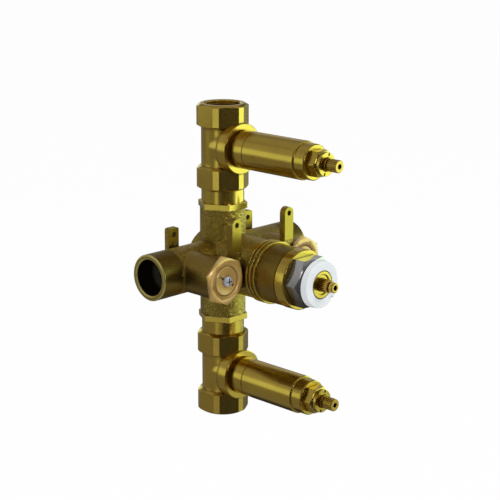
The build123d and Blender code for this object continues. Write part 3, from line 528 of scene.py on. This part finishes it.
@dataclass(frozen=True)
class CastMetal(Finish):
    """Sand-cast body: grainy brown skin, with the places that a cutter has been over left bright and smooth, a
    painted highlight ring on the inlet faces, and painted shade inside the inlet bores and in corners.
    """

    cut_colour: Colour = (0.50, 0.36, 0.10)
    ground_colour: Colour = (0.54, 0.375, 0.055)
    pit_colour: Colour = (0.17, 0.115, 0.035)
    cut_roughness: float = 0.34
    # Painted highlight ring on the inlet faces: its colour, radius, flat half-width and fade.
    rim_highlight_colour: Colour = (1.0, 0.84, 0.30)
    rim_highlight_r: float = 13.3 * MM
    rim_highlight_flat: float = 0.6 * MM
    rim_highlight_edge: float = 0.35 * MM
    tube_start: float = 47.0 * MM
    tube_fade: float = 2.0 * MM
    tube_tone: float = 0.5
    barrel_tone: float = 0.68
    housing_colour: Colour = (0.43, 0.265, 0.06)
    housing_side: float = 23.0 * MM
    housing_side_fade: float = 3.0 * MM
    housing_back: float = 8.0 * MM
    housing_back_fade: float = 4.0 * MM
    speck_colour: Colour = (0.86, 0.68, 0.13)
    # Painted shade inside the inlet bores.
    bore_shade_colour: Colour = (0.10, 0.07, 0.03)
    grain_scale: float = 620.0
    grain_depth: float = 0.8 * MM
    cloud_scale: float = 45.0
    speck_gloss: float = 0.14
    worn_share: float = 0.8
    barrel_start: float = 48.6 * MM
    edge: float = 0.4 * MM
    # Painted shade: how far the darkening in corners and gaps reaches.
    shade_reach: float = 5.0 * MM
    inlet_face: float = 64.7 * MM
    socket_r: float = 12.0 * MM
    mouth_start: float = 64.4 * MM
    ear_face: float = 36.7 * MM
    tab_face: float = 10.4 * MM
    tab_slack: float = 0.2 * MM
    ground_rise: float = 15.5 * MM

    def material(self, effects: Effects, axis: TurningAxis) -> bpy.types.Material:
        """Make the casting's finish.

        Args:
            effects: The shared effects.
            axis: The line of the body's front barrel.

        Returns:
            The material.
        """
        material, sheet, shader, place = self.start(1.0)
        grain = sheet.add("ShaderNodeGroup", node_tree=effects.grain)
        sheet.feed(grain.inputs["Vector"], place)
        grain.inputs["Scale"].default_value = self.grain_scale
        clouds = sheet.add("ShaderNodeGroup", node_tree=effects.tarnish)
        sheet.feed(clouds.inputs["Vector"], place)
        clouds.inputs["Scale"].default_value = self.cloud_scale
        along, across, over = axis.coordinates(sheet, place)
        face = sheet.math("GREATER_THAN", sheet.math("ABSOLUTE", across), self.inlet_face)
        ground = self._ground_fronts(sheet, along, over)
        cut = sheet.math("MAXIMUM", face, ground)
        skin = sheet.blend(clouds.outputs["Mask"], self.colour, self.shade)
        skin = sheet.blend(grain.outputs["Specks"], skin, self.speck_colour)
        skin = sheet.blend(grain.outputs["Pits"], skin, self.pit_colour)
        aside = sheet.math("ABSOLUTE", across)
        tube = sheet.spread(aside, self.tube_start, self.tube_start + self.tube_fade)
        barrel = sheet.math("LESS_THAN", along, -self.barrel_start)
        beside = sheet.spread(aside, self.housing_side, self.housing_side + self.housing_side_fade)
        ahead = sheet.spread(along, -self.housing_back, -self.housing_back - self.housing_back_fade)
        housing = sheet.math("MULTIPLY", beside, ahead)
        smooth = sheet.math("MAXIMUM", sheet.math("MAXIMUM", tube, barrel), housing)
        skin = sheet.blend(sheet.math("MULTIPLY", housing, self.worn_share), skin, self.housing_colour)
        skin = sheet.blend(tube, skin, tuple(part * self.tube_tone for part in self.colour))
        skin = sheet.blend(barrel, skin, tuple(part * self.barrel_tone for part in self.colour))
        bared = sheet.blend(grain.outputs["Pits"], self.ground_colour, self.pit_colour)
        radius = self._inlet_radius(sheet, along, over)
        # Painted highlight: a bright ring of colour on each inlet's cut face stands in for light caught on its
        # edge.
        rim = sheet.math("ABSOLUTE", sheet.math("SUBTRACT", radius, self.rim_highlight_r))
        rim = sheet.spread(rim, self.rim_highlight_flat, self.rim_highlight_flat + self.rim_highlight_edge)
        bared = sheet.blend(face, bared, sheet.blend(rim, self.cut_colour, self.rim_highlight_colour))
        # Painted shade in corners and gaps, from ambient occlusion.
        shown = self.corner_shaded(sheet, sheet.blend(cut, skin, bared), self.shade_reach)
        # Painted shade: the inlet bores beyond the mouth are darkened.
        socket = self._bore_shade_mask(sheet, radius, across)
        sheet.feed(shader.inputs["Base Color"], sheet.blend(socket, shown, self.bore_shade_colour))
        rough = sheet.spread(grain.outputs["Specks"], 0.0, 1.0, self.roughness, self.roughness - self.speck_gloss)
        smoothing = sheet.math("MULTIPLY", sheet.math("SUBTRACT", self.cut_roughness, rough), cut)
        sheet.feed(shader.inputs["Roughness"], sheet.math("ADD", rough, smoothing))
        worn = sheet.math("MAXIMUM", cut, sheet.math("MULTIPLY", smooth, self.worn_share))
        uncut = sheet.math("SUBTRACT", 1.0, worn)
        height = sheet.math("MULTIPLY", grain.outputs["Height"], uncut)
        self.bump(sheet, shader, height, self.grain_depth, self.edge)
        return material

    def _ground_fronts(
        self,
        sheet: NodeSheet,
        along: bpy.types.NodeSocket,
        over: bpy.types.NodeSocket,
    ) -> bpy.types.NodeSocket:
        """Mark the fronts of the ears and tabs, which are ground flat.

        Args:
            sheet: The material's sheet.
            along: Distance along the forward axis.
            over: Height.

        Returns:
            1 on ground places, 0 elsewhere.
        """
        ear = sheet.math("LESS_THAN", along, -self.ear_face)
        behind_barrel = sheet.math("GREATER_THAN", along, -self.barrel_start)
        ear = sheet.math("MULTIPLY", ear, behind_barrel)
        tab = sheet.math("COMPARE", along, self.tab_face, self.tab_slack)
        high = sheet.math("GREATER_THAN", over, self.ground_rise)
        return sheet.math("MULTIPLY", sheet.math("MAXIMUM", ear, tab), high)

    @staticmethod
    def _inlet_radius(
        sheet: NodeSheet,
        along: bpy.types.NodeSocket,
        over: bpy.types.NodeSocket,
    ) -> bpy.types.NodeSocket:
        """Give the distance from the line through both inlets.

        Args:
            sheet: The material's sheet.
            along: Distance along the forward axis.
            over: Height.

        Returns:
            The distance.
        """
        squares = sheet.math("ADD", sheet.math("MULTIPLY", along, along), sheet.math("MULTIPLY", over, over))
        return sheet.math("SQRT", squares)

    def _bore_shade_mask(
        self,
        sheet: NodeSheet,
        radius: bpy.types.NodeSocket,
        across: bpy.types.NodeSocket,
    ) -> bpy.types.NodeSocket:
        """Mark the inside of the inlets, which gets painted shade.

        Args:
            sheet: The material's sheet.
            radius: Distance from the line through both inlets.
            across: Distance to the right.

        Returns:
            1 inside the inlets, 0 elsewhere.
        """
        bore = sheet.math("LESS_THAN", radius, self.socket_r)
        deep = sheet.math("LESS_THAN", sheet.math("ABSOLUTE", across), self.mouth_start)
        return sheet.math("MULTIPLY", bore, deep)


@dataclass(frozen=True)
class MouldedStuff(Finish):
    """Plastic, rubber or ceramic, with a fine moulded skin."""

    skin_scale: float = 1500.0
    skin_depth: float = 0.01 * MM
    specular: float = 0.5
    cloud_scale: float = 70.0
    roughness_swing: float = 0.05
    edge: float = 0.25 * MM

    def material(self, effects: Effects, axis: TurningAxis) -> bpy.types.Material:
        """Make this finish.

        Args:
            effects: The shared effects.
            axis: The piece's axis, which a moulded skin doesn't follow.

        Returns:
            The material.
        """
        material, sheet, shader, place = self.start(0.0)
        shader.inputs["Specular IOR Level"].default_value = self.specular
        clouds = sheet.add("ShaderNodeGroup", node_tree=effects.tarnish)
        sheet.feed(clouds.inputs["Vector"], place)
        clouds.inputs["Scale"].default_value = self.cloud_scale
        skin = sheet.noise(self.skin_scale, vector=place, detail=2.0)
        sheet.feed(shader.inputs["Base Color"], sheet.blend(clouds.outputs["Mask"], self.colour, self.shade))
        low, high = self.roughness - self.roughness_swing, self.roughness + self.roughness_swing
        sheet.feed(shader.inputs["Roughness"], sheet.spread(skin, *ROUGHNESS_NOISE, low, high))
        self.bump(sheet, shader, skin, self.skin_depth, self.edge)
        return material


FINISHES: dict[str, Finish] = {
    finish.name: finish
    for finish in (
        CastMetal("cast_brass", (0.50, 0.33, 0.07), (0.34, 0.22, 0.05), 0.40),
        TurnedMetal(
            "machined_brass",
            (0.74, 0.50, 0.09),
            (0.66, 0.44, 0.085),
            0.18,
            edge=0.25 * MM,
            waist_edge=3.0 * MM,
        ),
        # Turned brass: painted shade in its corners reaches 1.6 mm.
        TurnedMetal("turned_brass", (0.76, 0.52, 0.09), (0.68, 0.46, 0.085), 0.22, shade_reach=1.6 * MM),
        TurnedMetal("stem_brass", (0.74, 0.48, 0.09), (0.62, 0.38, 0.08), 0.22),
        TurnedMetal(
            "plug_bronze",
            (0.76, 0.49, 0.15),
            (0.64, 0.38, 0.11),
            0.36,
            metallic=0.6,
            coat=0.9,
            fineness=1500.0,
        ),
        TurnedMetal("element_copper", (0.80, 0.42, 0.26), (0.66, 0.32, 0.20), 0.28),
        # Chrome: painted shade towards the low side of its axis.
        TurnedMetal("chrome", (0.66, 0.655, 0.645), (0.54, 0.535, 0.525), 0.12, metallic=0.9, underside_shade=0.9),
        TurnedMetal("spring_steel", (0.58, 0.58, 0.60), (0.48, 0.48, 0.50), 0.25),
        TurnedMetal("screw_steel", (0.68, 0.72, 0.84), (0.56, 0.60, 0.72), 0.24, metallic=0.55),
        MouldedStuff("white_plastic", (0.80, 0.83, 0.86), (0.76, 0.80, 0.83), 0.42),
        MouldedStuff("grey_plastic", (0.20, 0.21, 0.22), (0.17, 0.18, 0.19), 0.45),
        MouldedStuff("black_plastic", (0.032, 0.028, 0.017), (0.024, 0.021, 0.013), 0.5),
        MouldedStuff("disc_ceramic", (0.82, 0.80, 0.74), (0.78, 0.76, 0.70), 0.18),
        MouldedStuff("seal_rubber", (0.015, 0.015, 0.015), (0.010, 0.010, 0.010), 0.6),
    )
}


class Wardrobe:
    """The materials made so far, one for each finish and axis."""

    def __init__(self) -> None:
        """Start with the shared effects and no material."""
        self.effects = Effects()
        self.made: dict[tuple[str, TurningAxis], bpy.types.Material] = {}

    def material(self, slot: str, axis: TurningAxis) -> bpy.types.Material:
        """Give the material of a finish on an axis, made on first use.

        Args:
            slot: The record's material slot.
            axis: The line that the piece was turned about.

        Returns:
            The material.
        """
        if (slot, axis) not in self.made:
            self.made[slot, axis] = FINISHES[slot].material(self.effects, axis)
        return self.made[slot, axis]

    def dress(self, piece: bpy.types.Object, slot: str, axis: TurningAxis) -> None:
        """Put a finish on a piece in place of what it had."""
        piece.data.materials.clear()
        piece.data.materials.append(self.material(slot, axis))


@dataclass
class SubAssembly:
    """A group of CAD nodes that share an axis."""

    title: str
    nodes: list[str]
    axis: TurningAxis
    wardrobe: Wardrobe
    slots: dict[str, str]

    def build(self) -> None:
        """Add the pieces that the frame lacks, of which a plain sub-assembly has none."""

    def dress(self) -> None:
        """Put each node's finish on it."""
        for name in self.nodes:
            self.wardrobe.dress(frame["nodes"][name], self.slots[name], self.axis)
            LOG.info("%s: %s in %s", self.title, name, self.slots[name])


@dataclass
class BodyAndCartridge(SubAssembly):
    """The casting and the temperature cartridge, with the chamber's ridges and the rim of the cartridge's nose."""

    ridge_fronts: tuple[float, ...] = (42.0 * MM, 45.0 * MM, 48.4 * MM)
    ridge_width: float = 1.5 * MM
    ridge_r: float = 20.4 * MM
    ridge_root_r: float = 18.6 * MM
    ridge_edge: float = 0.3 * MM
    nose_r: float = 8.7 * MM
    nose_edge: float = 0.25 * MM
    recess_r: float = 6.3 * MM
    recess_slope: float = 0.5 * MM
    seat: float = 0.03 * MM
    steps: int = 96
    slot: str = "turned_brass"

    def build(self) -> None:
        """Turn each ridge, and the rim."""
        for number, front in enumerate(self.ridge_fronts, 1):
            self._turn(f"chamber_ridge_{number}", self._ridge(front))
        self._turn("cartridge_nose_rim", self._nose_rim())

    def _nose_rim(self) -> Profile:
        """Draw the rim that brings the cartridge's nose level with the limit ring, round a recess for the stem.

        Returns:
            The rim's radii and how far forward each stands.
        """
        back = -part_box("cartridge_head")[0].y - self.seat
        front = -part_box("limit_ring")[0].y
        return [
            (self.recess_r, back),
            (self.nose_r, back),
            (self.nose_r, front - self.nose_edge),
            (self.nose_r - self.nose_edge, front),
            (self.recess_r + self.recess_slope, front),
            (self.recess_r, front - self.recess_slope),
        ]

    def _ridge(self, front: float) -> Profile:
        """Draw one ridge.

        Args:
            front: How far forward its front face stands.

        Returns:
            The ridge's radii and how far forward each stands.
        """
        back = front - self.ridge_width
        return [
            (self.ridge_root_r, back),
            (self.ridge_r - self.ridge_edge, back),
            (self.ridge_r, back + self.ridge_edge),
            (self.ridge_r, front - self.ridge_edge),
            (self.ridge_r - self.ridge_edge, front),
            (self.ridge_root_r, front),
        ]

    def _turn(self, name: str, profile: Profile) -> None:
        """Turn a profile about the chamber's axis.

        Args:
            name: The new piece's name.
            profile: Its radii and how far forward each stands.
        """
        shape = bmesh.new()
        ring = [shape.verts.new((radius, -place, 0.0)) for radius, place in profile]
        edges = [shape.edges.new(pair) for pair in zip(ring, ring[1:] + ring[:1])]
        bmesh.ops.spin(
            shape,
            geom=ring + edges,
            cent=(0, 0, 0),
            axis=(0, 1, 0),
            angle=2 * math.pi,
            steps=self.steps,
            use_merge=True,
            use_duplicate=False,
        )
        bmesh.ops.remove_doubles(shape, verts=shape.verts[:], dist=MERGE)
        bmesh.ops.recalc_face_normals(shape, faces=shape.faces[:])
        turned = mesh_piece(name, shape)
        turned.data.set_sharp_from_angle(angle=SHARP)
        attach(turned, "body")
        self.wardrobe.dress(turned, self.slot, self.axis)
        LOG.info("%s: %s", self.title, name)


@dataclass
class VolumeControls(SubAssembly):
    """Both volume controls, with pipe thread in the tees' open mouths."""

    pitch: float = 1.81 * MM
    flank_share: float = 0.4
    height: float = 0.55 * MM
    sunk: float = 0.1 * MM
    turns: int = 6
    steps_per_turn: int = 48
    lead_in: float = 1.2 * MM
    mouth_r: float = 11.5 * MM
    slot: str = "machined_brass"

    def build(self) -> None:
        """Wind a thread in the upper tee's top mouth and in the lower tee's bottom mouth."""
        self._wind("upper_mouth_thread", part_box("upper_tee")[1].z, -1)
        self._wind("lower_mouth_thread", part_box("lower_tee")[0].z, 1)

    def _wind(self, name: str, rim: float, inward: int) -> None:
        """Wind one thread.

        Args:
            name: The new piece's name.
            rim: Height of the mouth's rim.
            inward: 1 for a mouth that opens down, -1 for one that opens up.
        """
        flank = self.pitch * self.flank_share
        start = rim + inward * (self.lead_in + flank)
        root, crest = self.mouth_r + self.sunk, self.mouth_r - self.height
        profile = [(root, -flank), (crest, 0.0), (root, flank)]
        shape = bmesh.new()
        ring = [shape.verts.new((radius, 0.0, start + rise)) for radius, rise in profile]
        face = shape.faces.new(ring)
        bmesh.ops.spin(
            shape,
            geom=[face],
            cent=(0, 0, 0),
            axis=(0, 0, 1),
            dvec=(0, 0, inward * self.pitch / self.steps_per_turn),
            angle=self.turns * 2 * math.pi,
            steps=self.turns * self.steps_per_turn,
            use_duplicate=False,
        )
        bmesh.ops.remove_doubles(shape, verts=shape.verts[:], dist=MERGE)
        bmesh.ops.recalc_face_normals(shape, faces=shape.faces[:])
        thread = mesh_piece(name, shape, smooth=False)
        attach(thread, "body")
        self.wardrobe.dress(thread, self.slot, TurningAxis(Direction.UPRIGHT))
        LOG.info("%s: %s of %d turns", self.title, name, self.turns)


@dataclass
class ServiceStops(SubAssembly):
    """Both service stops, with each hexagon plug at the turn where it was tightened."""

    left_turn: float = 34.0
    right_turn: float = 25.0
    merge: float = 0.001 * MM

    def build(self) -> None:
        """Stand a turned copy in for each plug."""
        self._tighten("left_stop_plug", self.left_turn)
        self._tighten("right_stop_plug", self.right_turn)

    def _tighten(self, node: str, turn: float) -> None:
        """Turn a copy of a plug about its own axis.

        Args:
            node: The CAD plug, which the copy replaces.
            turn: The turn in degrees, against the clock from the front.
        """
        low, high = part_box(node)
        shape = bmesh.new()
        shape.from_mesh(frame["nodes"][node].data)
        bmesh.ops.remove_doubles(shape, verts=shape.verts[:], dist=self.merge)
        spin = Matrix.Rotation(-math.radians(turn), 3, "Y")
        bmesh.ops.rotate(shape, verts=shape.verts[:], cent=(low + high) / 2, matrix=spin)
        plug = mesh_piece(f"{node}_tightened", shape)
        plug.data.set_sharp_from_angle(angle=SHARP)
        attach(plug, "body")
        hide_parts(node)
        self.wardrobe.dress(plug, self.slots[node], self.axis)
        LOG.info("%s: %s turned by %.0f degrees", self.title, node, turn)


@dataclass
class Springs(SubAssembly):
    """The coil springs, which shorten as a joint moves one of their ends; here each is a still copy."""

    def build(self) -> None:
        """Stand a copied coil in for each spring that the record says deforms."""
        for joint in frame["record"]["behaviour"]["joints"]:
            for spring in joint.get("deforming_nodes", []):
                self._flex(spring["node"], joint)

    def _flex(self, node: str, joint: dict) -> None:
        """Stand a still copy of a spring in for the CAD spring.

        Args:
            node: The CAD spring, which the copy replaces.
            joint: The record's joint, which closes the spring as it moves along its axis; its axis picks the
                finish's axis and its name is logged.
        """
        along = Vector(joint["axis"])
        shape = bmesh.new()
        shape.from_mesh(frame["nodes"][node].data)
        coil = mesh_piece(f"{node}_flexing", shape)
        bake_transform(coil)
        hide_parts(node)
        axis = TurningAxis(Direction.SIDEWAYS) if along.x else self.axis
        self.wardrobe.dress(coil, self.slots[node], axis)
        LOG.info("%s: %s flexes with %s", self.title, node, joint["name"])


@dataclass
class Nipples(SubAssembly):
    """Both nipples, whose hexagons have plain square edges."""

    flats: float = 28.9 * MM
    hole_r: float = 13.8 * MM
    neck_r: float = 14.2 * MM
    cover: float = 0.03 * MM
    cuts: int = 7

    def build(self) -> None:
        """Fit a square-edged hexagon over each nipple's own."""
        for node in self.nodes:
            vertices = frame["nodes"][node].data.vertices
            rises = [v.co.z for v in vertices if math.hypot(v.co.x, v.co.y) > self.neck_r]
            self._hexagon(f"{node}_hexagon", min(rises) - self.cover, max(rises) + self.cover, self.slots[node])

    def _hexagon(self, name: str, low: float, high: float, slot: str) -> None:
        """Make one hexagon ring, with two flats to the front and back.

        Args:
            name: The new piece's name.
            low: Its underside.
            high: Its top.
            slot: Its finish.
        """
        turn = Matrix.Rotation(math.radians(30), 3, "Z")
        shape = bmesh.new()
        outer = bmesh.ops.create_circle(shape, segments=6, radius=self.flats / math.sqrt(3))["verts"]
        bmesh.ops.rotate(shape, verts=outer, cent=(0, 0, 0), matrix=turn)
        bmesh.ops.subdivide_edges(shape, edges=shape.edges[:], cuts=self.cuts)
        inner = bmesh.ops.create_circle(shape, segments=6 * (self.cuts + 1), radius=self.hole_r)["verts"]
        bmesh.ops.rotate(shape, verts=inner, cent=(0, 0, 0), matrix=turn)
        bmesh.ops.translate(shape, verts=shape.verts[:], vec=(0, 0, low))
        bmesh.ops.bridge_loops(shape, edges=shape.edges[:])
        raised = bmesh.ops.extrude_face_region(shape, geom=shape.faces[:])["geom"]
        tops = [item for item in raised if isinstance(item, bmesh.types.BMVert)]
        bmesh.ops.translate(shape, verts=tops, vec=(0, 0, high - low))
        bmesh.ops.recalc_face_normals(shape, faces=shape.faces[:])
        ring = mesh_piece(name, shape, smooth=False)
        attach(ring, "body")
        self.wardrobe.dress(ring, slot, self.axis)
        LOG.info("%s: %s", self.title, name)


@dataclass(frozen=True)
class TentPanel:
    """One panel of the light tent that metal mirrors, as a patch of a sphere.

    Azimuth 0 is straight ahead of the stems and grows to the right of the part.
    """

    name: str
    azimuths: tuple[float, float]
    elevations: tuple[float, float]
    level: float
    colour: Colour = WHITE
    radius: float = 3.0
    rows: int = 8
    columns: int = 16

    def build(self) -> None:
        """Make the panel, seen by mirror rays alone."""
        low, high = self.elevations
        left, right = self.azimuths
        shape = bmesh.new()
        arc = []
        for row in range(self.rows + 1):
            rise = math.radians(low + (high - low) * row / self.rows)
            out = self.radius * math.cos(rise)
            turn = math.radians(left)
            arc.append(shape.verts.new((out * math.sin(turn), -out * math.cos(turn), self.radius * math.sin(rise))))
        edges = [shape.edges.new(pair) for pair in zip(arc, arc[1:])]
        bmesh.ops.spin(
            shape,
            geom=arc + edges,
            cent=(0, 0, 0),
            axis=(0, 0, 1),
            angle=math.radians(right - left),
            steps=self.columns,
            use_duplicate=False,
        )
        panel = mesh_piece(self.name, shape)
        panel.data.materials.append(glow(self.name, self.level, self.colour))
        show_only_to(panel, RayKind.GLOSSY)


def glow(name: str, level: float, colour: Colour = WHITE) -> bpy.types.Material:
    """Make a plain glowing material that lights nothing by itself.

    Args:
        name: The material's name.
        level: Its brightness; 1 is white.
        colour: Its tint.

    Returns:
        The material.
    """
    material = bpy.data.materials.new(name)
    material.use_nodes = True
    material.cycles.emission_sampling = "NONE"
    sheet = NodeSheet(material.node_tree)
    sheet.tree.nodes.clear()
    light = sheet.add("ShaderNodeEmission")
    sheet.feed(light.inputs["Color"], colour)
    light.inputs["Strength"].default_value = level
    end = sheet.add("ShaderNodeOutputMaterial")
    sheet.feed(end.inputs["Surface"], light.outputs["Emission"])
    return material


@dataclass(frozen=True)
class SoftLamp:
    """A large square lamp that lights what isn't metal."""

    name: str
    place: Vector
    width: float
    watts: float

    def build(self) -> None:
        """Make the lamp, turned to the part."""
        light = bpy.data.lights.new(self.name, "AREA")
        light.size = self.width
        light.energy = self.watts
        lamp = bpy.data.objects.new(self.name, light)
        lamp.location = self.place
        lamp.rotation_euler = (-self.place).to_track_quat("-Z", "Y").to_euler()
        lamp.visible_glossy = False
        lamp.visible_camera = False
        bpy.context.scene.collection.objects.link(lamp)


@dataclass
class Studio:
    """Camera, floor, tent, lamps and background."""

    azimuth: float = -45.83
    elevation: float = 14.76
    roll: float = 0.18
    distance: float = 0.9478
    aim_right: float = 17.914 * MM
    aim_up: float = 5.876 * MM
    focal_pixels: float = 1434.5
    picture_pixels: float = 500.0
    sensor: float = 36.0
    floor_height: float = -0.35
    floor_half: float = 14.0
    floor_colour: Colour = (0.9, 0.9, 0.9)
    floor_white: float = 0.97
    tent_level: float = 0.2
    tent_radius: float = 3.2
    fill_level: float = 0.45
    panels: tuple[TentPanel, ...] = (
        TentPanel("front_right_window", (26.0, 100.0), (-17.0, 24.0), 1.9, LIME),
        TentPanel("front_right_low_window", (4.0, 62.0), (-48.0, -17.0), 0.5, PALE_GREEN),
        TentPanel("front_flag", (-66.0, 12.0), (-17.0, 36.0), 0.05),
        TentPanel("front_low_flag", (-48.0, 4.0), (-44.0, -17.0), 0.05),
        TentPanel("left_strip", (-87.0, -71.0), (-17.0, 38.0), 0.75, PALE_GREEN),
        TentPanel("left_low_strip", (-82.0, -50.0), (-40.0, -17.0), 0.32),
        TentPanel("back_left_window", (-147.0, -118.0), (-6.0, 17.0), 0.8, PALE_GREEN),
        TentPanel("back_left_high_window", (-155.0, -125.0), (17.0, 42.0), 0.35),
        TentPanel("right_flag", (100.0, 122.0), (-30.0, 40.0), 0.13),
        TentPanel("back_right_side_window", (122.0, 144.0), (4.0, 30.0), 0.4),
        TentPanel("back_right_window", (144.0, 170.0), (2.0, 20.0), 1.1, PALE_GREEN),
        TentPanel("back_right_low_flag", (122.0, 180.0), (-66.0, -24.0), 0.03),
        TentPanel("ceiling", (-180.0, 180.0), (44.0, 89.0), 0.3),
        TentPanel("key", (-17.0, 1.0), (7.0, 18.0), 5.0, radius=2.9),
    )
    lamps: tuple[SoftLamp, ...] = (
        SoftLamp("key_lamp", Vector((0.5, -1.6, 1.3)), 1.2, 21.0),
        SoftLamp("fill_lamp", Vector((-1.7, -0.6, 0.9)), 1.4, 9.0),
        SoftLamp("top_lamp", Vector((0.0, 0.2, 2.2)), 1.6, 13.0),
    )

    def build(self) -> None:
        """Set up the whole studio."""
        self._camera()
        self._floor()
        self._tent()
        for lamp in self.lamps:
            lamp.build()
        self._background()
        bpy.context.scene.view_settings.view_transform = "Standard"
        LOG.info("studio: %d panels, %d lamps", len(self.panels), len(self.lamps))

    def _camera(self) -> None:
        """Stand the camera where the photograph was taken from."""
        turn, rise = math.radians(self.azimuth), math.radians(self.elevation)
        back = Vector((math.sin(turn) * math.cos(rise), -math.cos(turn) * math.cos(rise), math.sin(rise)))
        right = Vector((math.cos(turn), math.sin(turn), 0.0))
        up = back.cross(right)
        tilt = Matrix.Rotation(math.radians(self.roll), 3, back)
        right, up = tilt @ right, tilt @ up
        target = right * self.aim_right + up * self.aim_up
        data = bpy.data.cameras.new("camera")
        data.sensor_width = self.sensor
        data.lens = self.focal_pixels / self.picture_pixels * self.sensor
        camera = bpy.data.objects.new("camera", data)
        pose = Matrix((right, up, back)).transposed().to_4x4()
        pose.translation = target + back * self.distance
        camera.matrix_world = pose
        bpy.context.scene.collection.objects.link(camera)
        bpy.context.scene.camera = camera

    def _floor(self) -> None:
        """Lay a pale floor, white to the camera but for shadows, and clear from below."""
        shape = bmesh.new()
        bmesh.ops.create_grid(shape, x_segments=1, y_segments=1, size=self.floor_half)
        bmesh.ops.translate(shape, verts=shape.verts[:], vec=(0, 0, self.floor_height))
        floor = mesh_piece("floor", shape, smooth=False)
        material = bpy.data.materials.new("pale_floor")
        material.use_nodes = True
        sheet = NodeSheet(material.node_tree)
        sheet.tree.nodes.clear()
        paint = sheet.add("ShaderNodeBsdfDiffuse")
        sheet.feed(paint.inputs["Color"], self.floor_colour)
        white = sheet.add("ShaderNodeEmission")
        white.inputs["Strength"].default_value = 1.0
        clear = sheet.add("ShaderNodeBsdfTransparent")
        path = sheet.add("ShaderNodeLightPath")
        side = sheet.add("ShaderNodeNewGeometry")
        seen = sheet.add("ShaderNodeMixShader")
        sheet.feed(seen.inputs[0], sheet.math("MULTIPLY", path.outputs["Is Camera Ray"], self.floor_white))
        sheet.feed(seen.inputs[1], paint.outputs["BSDF"])
        sheet.feed(seen.inputs[2], white.outputs["Emission"])
        below = sheet.add("ShaderNodeMixShader")
        sheet.feed(below.inputs[0], side.outputs["Backfacing"])
        sheet.feed(below.inputs[1], seen.outputs["Shader"])
        sheet.feed(below.inputs[2], clear.outputs["BSDF"])
        end = sheet.add("ShaderNodeOutputMaterial")
        sheet.feed(end.inputs["Surface"], below.outputs["Shader"])
        material.cycles.emission_sampling = "NONE"
        floor.data.materials.append(material)
        show_only_to(floor, RayKind.CAMERA, RayKind.DIFFUSE, RayKind.TRANSMISSION, RayKind.SHADOW)

    def _tent(self) -> None:
        """Put up the dim tent and its panels."""
        shape = bmesh.new()
        bmesh.ops.create_uvsphere(shape, u_segments=32, v_segments=16, radius=self.tent_radius)
        tent = mesh_piece("tent", shape)
        tent.data.materials.append(glow("tent_cloth", self.tent_level))
        show_only_to(tent, RayKind.GLOSSY)
        for panel in self.panels:
            panel.build()

    def _background(self) -> None:
        """Make the world white to the camera, to mirrors and through glass, and a soft grey fill otherwise."""
        world = bpy.data.worlds.new("studio_air")
        world.use_nodes = True
        bpy.context.scene.world = world
        sheet = NodeSheet(world.node_tree)
        air = next(node for node in world.node_tree.nodes if node.type == "BACKGROUND")
        path = sheet.add("ShaderNodeLightPath")
        direct = sheet.math("MAXIMUM", path.outputs["Is Camera Ray"], path.outputs["Is Glossy Ray"])
        direct = sheet.math("MAXIMUM", direct, path.outputs["Is Transmission Ray"])
        sheet.feed(air.inputs["Strength"], sheet.spread(direct, 0.0, 1.0, self.fill_level, 1.0))
        sheet.feed(air.inputs["Color"], WHITE)


def sub_assemblies(wardrobe: Wardrobe) -> list[SubAssembly]:
    """Sort the CAD nodes into sub-assemblies by the axis that each was turned about.

    Args:
        wardrobe: The materials.

    Returns:
        The sub-assemblies, which together hold every node once.
    """
    slots = {part["node"]: part["material_slot"] for part in frame["record"]["subparts"]}
    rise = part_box("upper_bonnet")
    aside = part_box("right_stop_plug")
    control = TurningAxis(rise=(rise[0].z + rise[1].z) / 2)
    stop = TurningAxis(aside=(aside[0].x + aside[1].x) / 2)
    outlet = TurningAxis(Direction.UPRIGHT)
    inlet = TurningAxis(Direction.SIDEWAYS)
    nipples = [name for name in slots if name.endswith("nipple")]
    springs = [name for name in slots if name.endswith("_spring")]
    checks = [name for name in slots if "_check_" in name and name not in springs]
    stops = [name for name in slots if "_stop_" in name or name.endswith(("plug_seal", "spindle_seal"))]
    controls = [name for name in slots if name.startswith(("upper_", "lower_")) and name not in nipples]
    taken = {*nipples, *springs, *checks, *stops, *controls}
    cartridge = [name for name in slots if name not in taken]
    return [
        BodyAndCartridge("body and cartridge", cartridge, TurningAxis(), wardrobe, slots),
        VolumeControls("volume controls", controls, control, wardrobe, slots),
        ServiceStops("service stops", stops, stop, wardrobe, slots),
        SubAssembly("check valves", checks, inlet, wardrobe, slots),
        Springs("springs", springs, TurningAxis(), wardrobe, slots),
        Nipples("nipples", nipples, outlet, wardrobe, slots),
    ]


def main() -> None:
    """Dress the frame, add the pieces that it lacks and set up the studio."""
    logging.basicConfig(level=logging.INFO, format="%(message)s")
    bpy.context.view_layer.update()
    for assembly in sub_assemblies(Wardrobe()):
        assembly.dress()
        assembly.build()
    Studio().build()
    bpy.context.view_layer.update()


if __name__ == "__main__":
    main()
